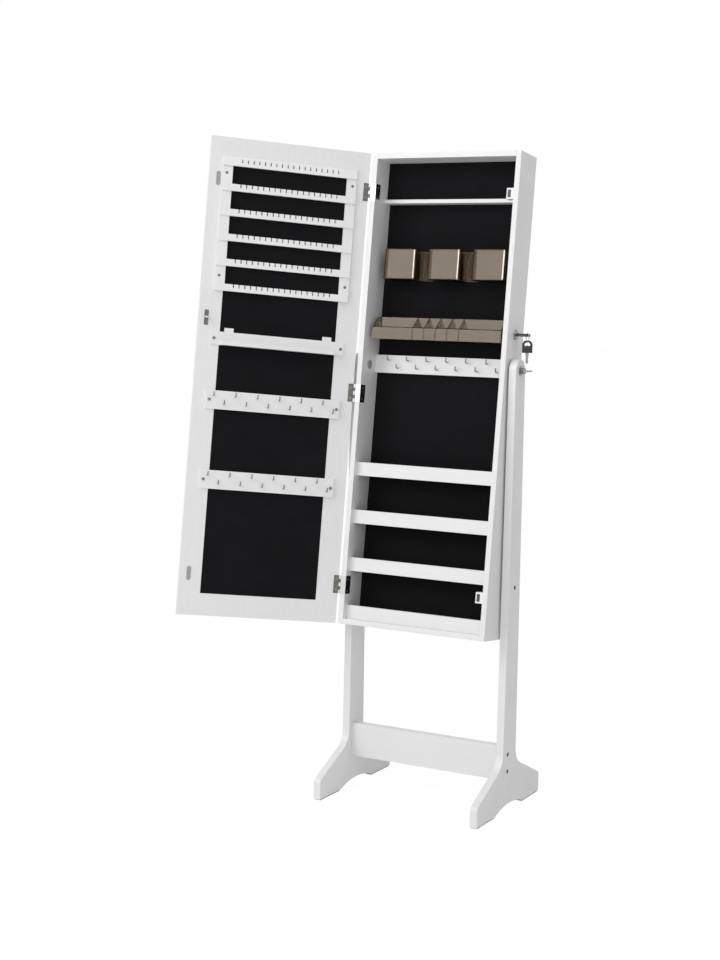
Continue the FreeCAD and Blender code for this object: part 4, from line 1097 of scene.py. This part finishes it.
@dataclass
class Door(SubAssembly):
    """The mirror door with its fittings."""

    frame_edge: float = 0.8 * MM
    glass_edge: float = 1.0 * MM
    ladder_edge: float = 0.25 * MM
    strip_edge: float = 0.5 * MM
    plate_edge: float = 0.2 * MM
    slot_depth: float = 8.0 * MM
    slot_margin: float = 1.0 * MM
    slot_ease: float = 0.3 * MM
    slot_cosine: float = 0.98
    fitting_screw: CrossHead = CrossHead(3.3 * MM, 0.8 * MM, 0.7 * MM)
    fitting_sink: float = 0.05 * MM
    hinge_screw: CrossHead = CrossHead(2.4 * MM, 0.14 * MM, 0.1 * MM)
    hinge_sink: float = 0.2 * MM
    screw_spread: float = 12.0 * MM
    screw_setback: float = 8.0 * MM

    def dress(self) -> None:
        """Finish the door."""
        self.shop.ease(("door_frame",), LACQUER, self.frame_edge)
        self.shop.ease(("mirror_glass",), SILVERED, self.glass_edge)
        self.shop.paint(("mirror_backing",), HARDBOARD)
        self.shop.paint(("door_velvet",), VELVET)
        self.open_slots(self.shop.ease(("earring_ladder",), WHITE_MOULDING, self.ladder_edge, 1)[0].data)
        self.shop.ease(("ring_ledge", "upper_hook_strip", "lower_hook_strip"), WHITE_MOULDING, self.strip_edge)
        self.shop.paint(("door_hooks", "door_screws"), CHROME)
        # The door's hinge leaves get the dark copy of the metal as painted shade.
        self.shop.paint(("hinge_door_leaves",), SHADE_PAINTED_STEEL)
        # The keeper is dark steel as painted shade, with a painted highlight on its raised bridge.
        self.paint_bridge_highlight(self.shop.ease(("lock_keeper",), SHADE_PAINTED_STEEL, self.plate_edge, 1)[0].data)
        self.shop.ease(("strike_plates",), NICKEL, self.plate_edge)
        self.fasten()

    def open_slots(self, mesh: bpy.types.Mesh) -> None:
        """Ease the slots of the ladder's rungs a little wider.

        Args:
            mesh: The ladder's mesh.
        """
        turn = STANCE.door().inverted().to_3x3()
        moves = {}
        for face in mesh.polygons:
            levels = [(turn @ mesh.vertices[place].co).z for place in face.vertices]
            deep = abs(max(levels) - min(levels) - self.slot_depth) < self.slot_margin
            if deep and abs((turn @ face.normal).x) > self.slot_cosine:
                moves.update((place, face.normal * -self.slot_ease) for place in face.vertices)
        for place, move in moves.items():
            mesh.vertices[place].co += move
        LOG.info("earring_ladder: %d slot corners eased", len(moves))

    def paint_bridge_highlight(self, mesh: bpy.types.Mesh) -> None:
        """Paint a highlight on the raised bridge of the keeper, the faces past its middle; the rest keeps the dark
        steel as painted shade.

        Args:
            mesh: The keeper's mesh.
        """
        mesh.materials.append(HIGHLIGHT_PAINTED_PLATE.material(self.shop.shelf))
        into = STANCE.door().inverted()
        heights = [(into @ point.co).y for point in mesh.vertices]
        middle = (min(heights) + max(heights)) / 2
        for face in mesh.polygons:
            face.material_index = int((into @ face.center).y > middle)

    def fasten(self) -> None:
        """Set the cross heads of the fittings' screws and the hinge screws."""
        into = STANCE.door().inverted()
        spots = [((low.x + high.x) / 2, high.y - self.fitting_sink, (low.z + high.z) / 2)
                 for low, high in islands(self.shop.mesh("door_screws"), into)]
        hinge_spots = [(self.screw_setback, -self.hinge_sink, (low.z + high.z) / 2 + rise)
                       for low, high in islands(self.shop.mesh("hinge_door_leaves"), into)
                       for rise in (-self.screw_spread, self.screw_spread)]
        for name, screw, places in (("fitting_screw_heads", self.fitting_screw, spots),
                                    ("door_hinge_screws", self.hinge_screw, hinge_spots)):
            mesh = screw.set_of(name, (facing(spot, Outward.ALONG_Y) for spot in places))
            self.shop.add(mesh, CHROME, "door", STANCE.door())


@dataclass(frozen=True)
class Softbox:
    """One softbox: its place, the point it faces, its width and height in metres, its power in watts.

    Where it names pieces, it only shines on their gloss.
    """

    name: str
    spot: Spot
    aim: Spot
    size: tuple[float, float]
    power: float
    pieces: tuple[str, ...] = ()

    def hang(self) -> None:
        """Hang the softbox."""
        light = bpy.data.lights.new(self.name, "AREA")
        light.shape = "RECTANGLE"
        light.size, light.size_y = self.size
        light.energy = self.power
        holder = bpy.data.objects.new(self.name, light)
        holder.location = self.spot
        if self.pieces:
            lit = bpy.data.collections.new(f"{self.name} pieces")
            for piece in self.pieces:
                lit.objects.link(bpy.data.objects[piece])
            holder.light_linking.receiver_collection = lit
            holder.visible_diffuse = False
        holder.rotation_euler = (Vector(self.aim) - Vector(self.spot)).to_track_quat("-Z", "Y").to_euler()
        bpy.context.scene.collection.objects.link(holder)


@dataclass(frozen=True)
class PhotoCamera:
    """The camera as fitted to the photograph; metres, degrees, pixels, and millimetres for the sensor."""

    azimuth: float = 28.68
    pitch: float = 6.45
    roll: float = 1.10
    distance: float = 3.78995
    across: float = -0.16416
    lift: float = 0.71824
    focal_pixels: float = 1704.91
    image_height: float = 960.0
    sensor_height: float = 36.0

    def stand(self) -> None:
        """Stand the camera where the photograph was taken."""
        azimuth, pitch, roll = (math.radians(angle) for angle in (self.azimuth, self.pitch, self.roll))
        back = Vector((math.sin(azimuth) * math.cos(pitch), -math.cos(azimuth) * math.cos(pitch), math.sin(pitch)))
        right = Vector((math.cos(azimuth), math.sin(azimuth), 0.0))
        up = back.cross(right)
        rolled_right = math.cos(roll) * right + math.sin(roll) * up
        rolled_up = -math.sin(roll) * right + math.cos(roll) * up
        spot = Vector((self.across * right.x, self.across * right.y, self.lift)) + back * self.distance
        data = bpy.data.cameras.new("photo_camera")
        data.sensor_fit = "VERTICAL"
        data.sensor_height = self.sensor_height
        data.lens = self.focal_pixels / self.image_height * self.sensor_height
        holder = bpy.data.objects.new("photo_camera", data)
        turn = Matrix((rolled_right, rolled_up, back)).transposed().to_4x4()
        holder.matrix_world = Matrix.Translation(spot) @ turn
        bpy.context.scene.collection.objects.link(holder)
        bpy.context.scene.camera = holder


@dataclass(frozen=True)
class Studio:
    """White sweep, soft light and the photograph's camera."""

    floor_half: float = 30.0
    floor_tone: Colour = (0.86, 0.86, 0.86)
    floor_rough: float = 0.9
    floor_glow: float = 1.045
    glow_share: float = 0.9
    sky: float = 0.558
    sky_lean: float = 0.13
    softboxes: tuple[Softbox, ...] = (
        Softbox("key_softbox", (-2.2, -3.2, 2.9), (0.0, 0.0, 0.8), (2.6, 2.6), 62.0),
        Softbox("near_softbox", (0.45, -2.2, 1.3), (-0.3, 0.0, 0.7), (0.8, 1.6), 6.2),
        Softbox("top_softbox", (0.3, -0.6, 3.6), (0.0, 0.0, 0.6), (2.4, 2.4), 14.0),
        Softbox("sheen_softbox", (0.7, -3.3, 1.9), (0.0, 0.0, 1.1), (2.6, 2.4), 420.0,
                ("cup_organiser.eased", "divider_tray.eased")))
    camera: PhotoCamera = PhotoCamera()

    def ground(self) -> None:
        """Lay the pale floor."""
        mesh = bpy.data.meshes.new("studio_floor")
        half = self.floor_half
        corners = [(-half, -half, 0), (half, -half, 0), (half, half, 0), (-half, half, 0)]
        mesh.from_pydata(corners, [], [(0, 1, 2, 3)])
        floor = bpy.data.objects.new("studio_floor", mesh)
        bpy.context.scene.collection.objects.link(floor)
        material = bpy.data.materials.new("studio white")
        material.use_nodes = True
        bench = NodeBench(material.node_tree)
        shader = material.node_tree.nodes["Principled BSDF"]
        shader.inputs["Base Color"].default_value = (*self.floor_tone, 1.0)
        shader.inputs["Roughness"].default_value = self.floor_rough
        glow = bench.add("ShaderNodeEmission")
        glow.inputs["Strength"].default_value = self.floor_glow
        mix = bench.add("ShaderNodeMixShader")
        bench.join(bench.maths("MULTIPLY", self.seen_ray(bench), self.glow_share), mix.inputs["Fac"])
        bench.join(shader.outputs["BSDF"], mix.inputs[1])
        bench.join(glow.outputs["Emission"], mix.inputs[2])
        bench.join(mix.outputs["Shader"], material.node_tree.nodes["Material Output"].inputs["Surface"])
        mesh.materials.append(material)

    @staticmethod
    def seen_ray(bench: NodeBench) -> Socket:
        """A mask of the rays that show the background: straight, mirrored or through clear pieces."""
        path = bench.add("ShaderNodeLightPath").outputs
        return bench.highest(path["Is Camera Ray"], path["Is Glossy Ray"], path["Is Transmission Ray"])

    def surround(self) -> None:
        """Set the white surround and its soft light."""
        world = bpy.data.worlds.new("studio")
        bpy.context.scene.world = world
        world.use_nodes = True
        bench = NodeBench(world.node_tree)
        back = world.node_tree.nodes["Background"]
        back.inputs["Color"].default_value = (1.0, 1.0, 1.0, 1.0)
        ahead = bench.add("ShaderNodeSeparateXYZ")
        bench.join(bench.add("ShaderNodeTexCoord").outputs["Generated"], ahead.inputs["Vector"])
        soft = bench.maths("SUBTRACT", self.sky, bench.maths("MULTIPLY", ahead.outputs["Y"], self.sky_lean))
        strength = bench.add("ShaderNodeMapRange")
        bench.join(soft, strength.inputs["To Min"])
        strength.inputs["To Max"].default_value = 1.0
        bench.join(self.seen_ray(bench), strength.inputs["Value"])
        bench.join(strength.outputs["Result"], back.inputs["Strength"])

    def build(self) -> None:
        """Set up floor, light and camera."""
        self.ground()
        self.surround()
        for softbox in self.softboxes:
            softbox.hang()
        self.camera.stand()
        bpy.context.scene.view_settings.view_transform = "Standard"


def main() -> None:
    """Load the frame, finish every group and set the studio."""
    logging.basicConfig(level=logging.INFO, format="%(message)s")
    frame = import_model()
    shop = Workshop(frame, EffectShelf())
    for group in (Stand, CabinetBox, Organisers, LockAndKeys, Door):
        group(shop).dress()
    Studio().build()


if __name__ == "__main__":
    main()
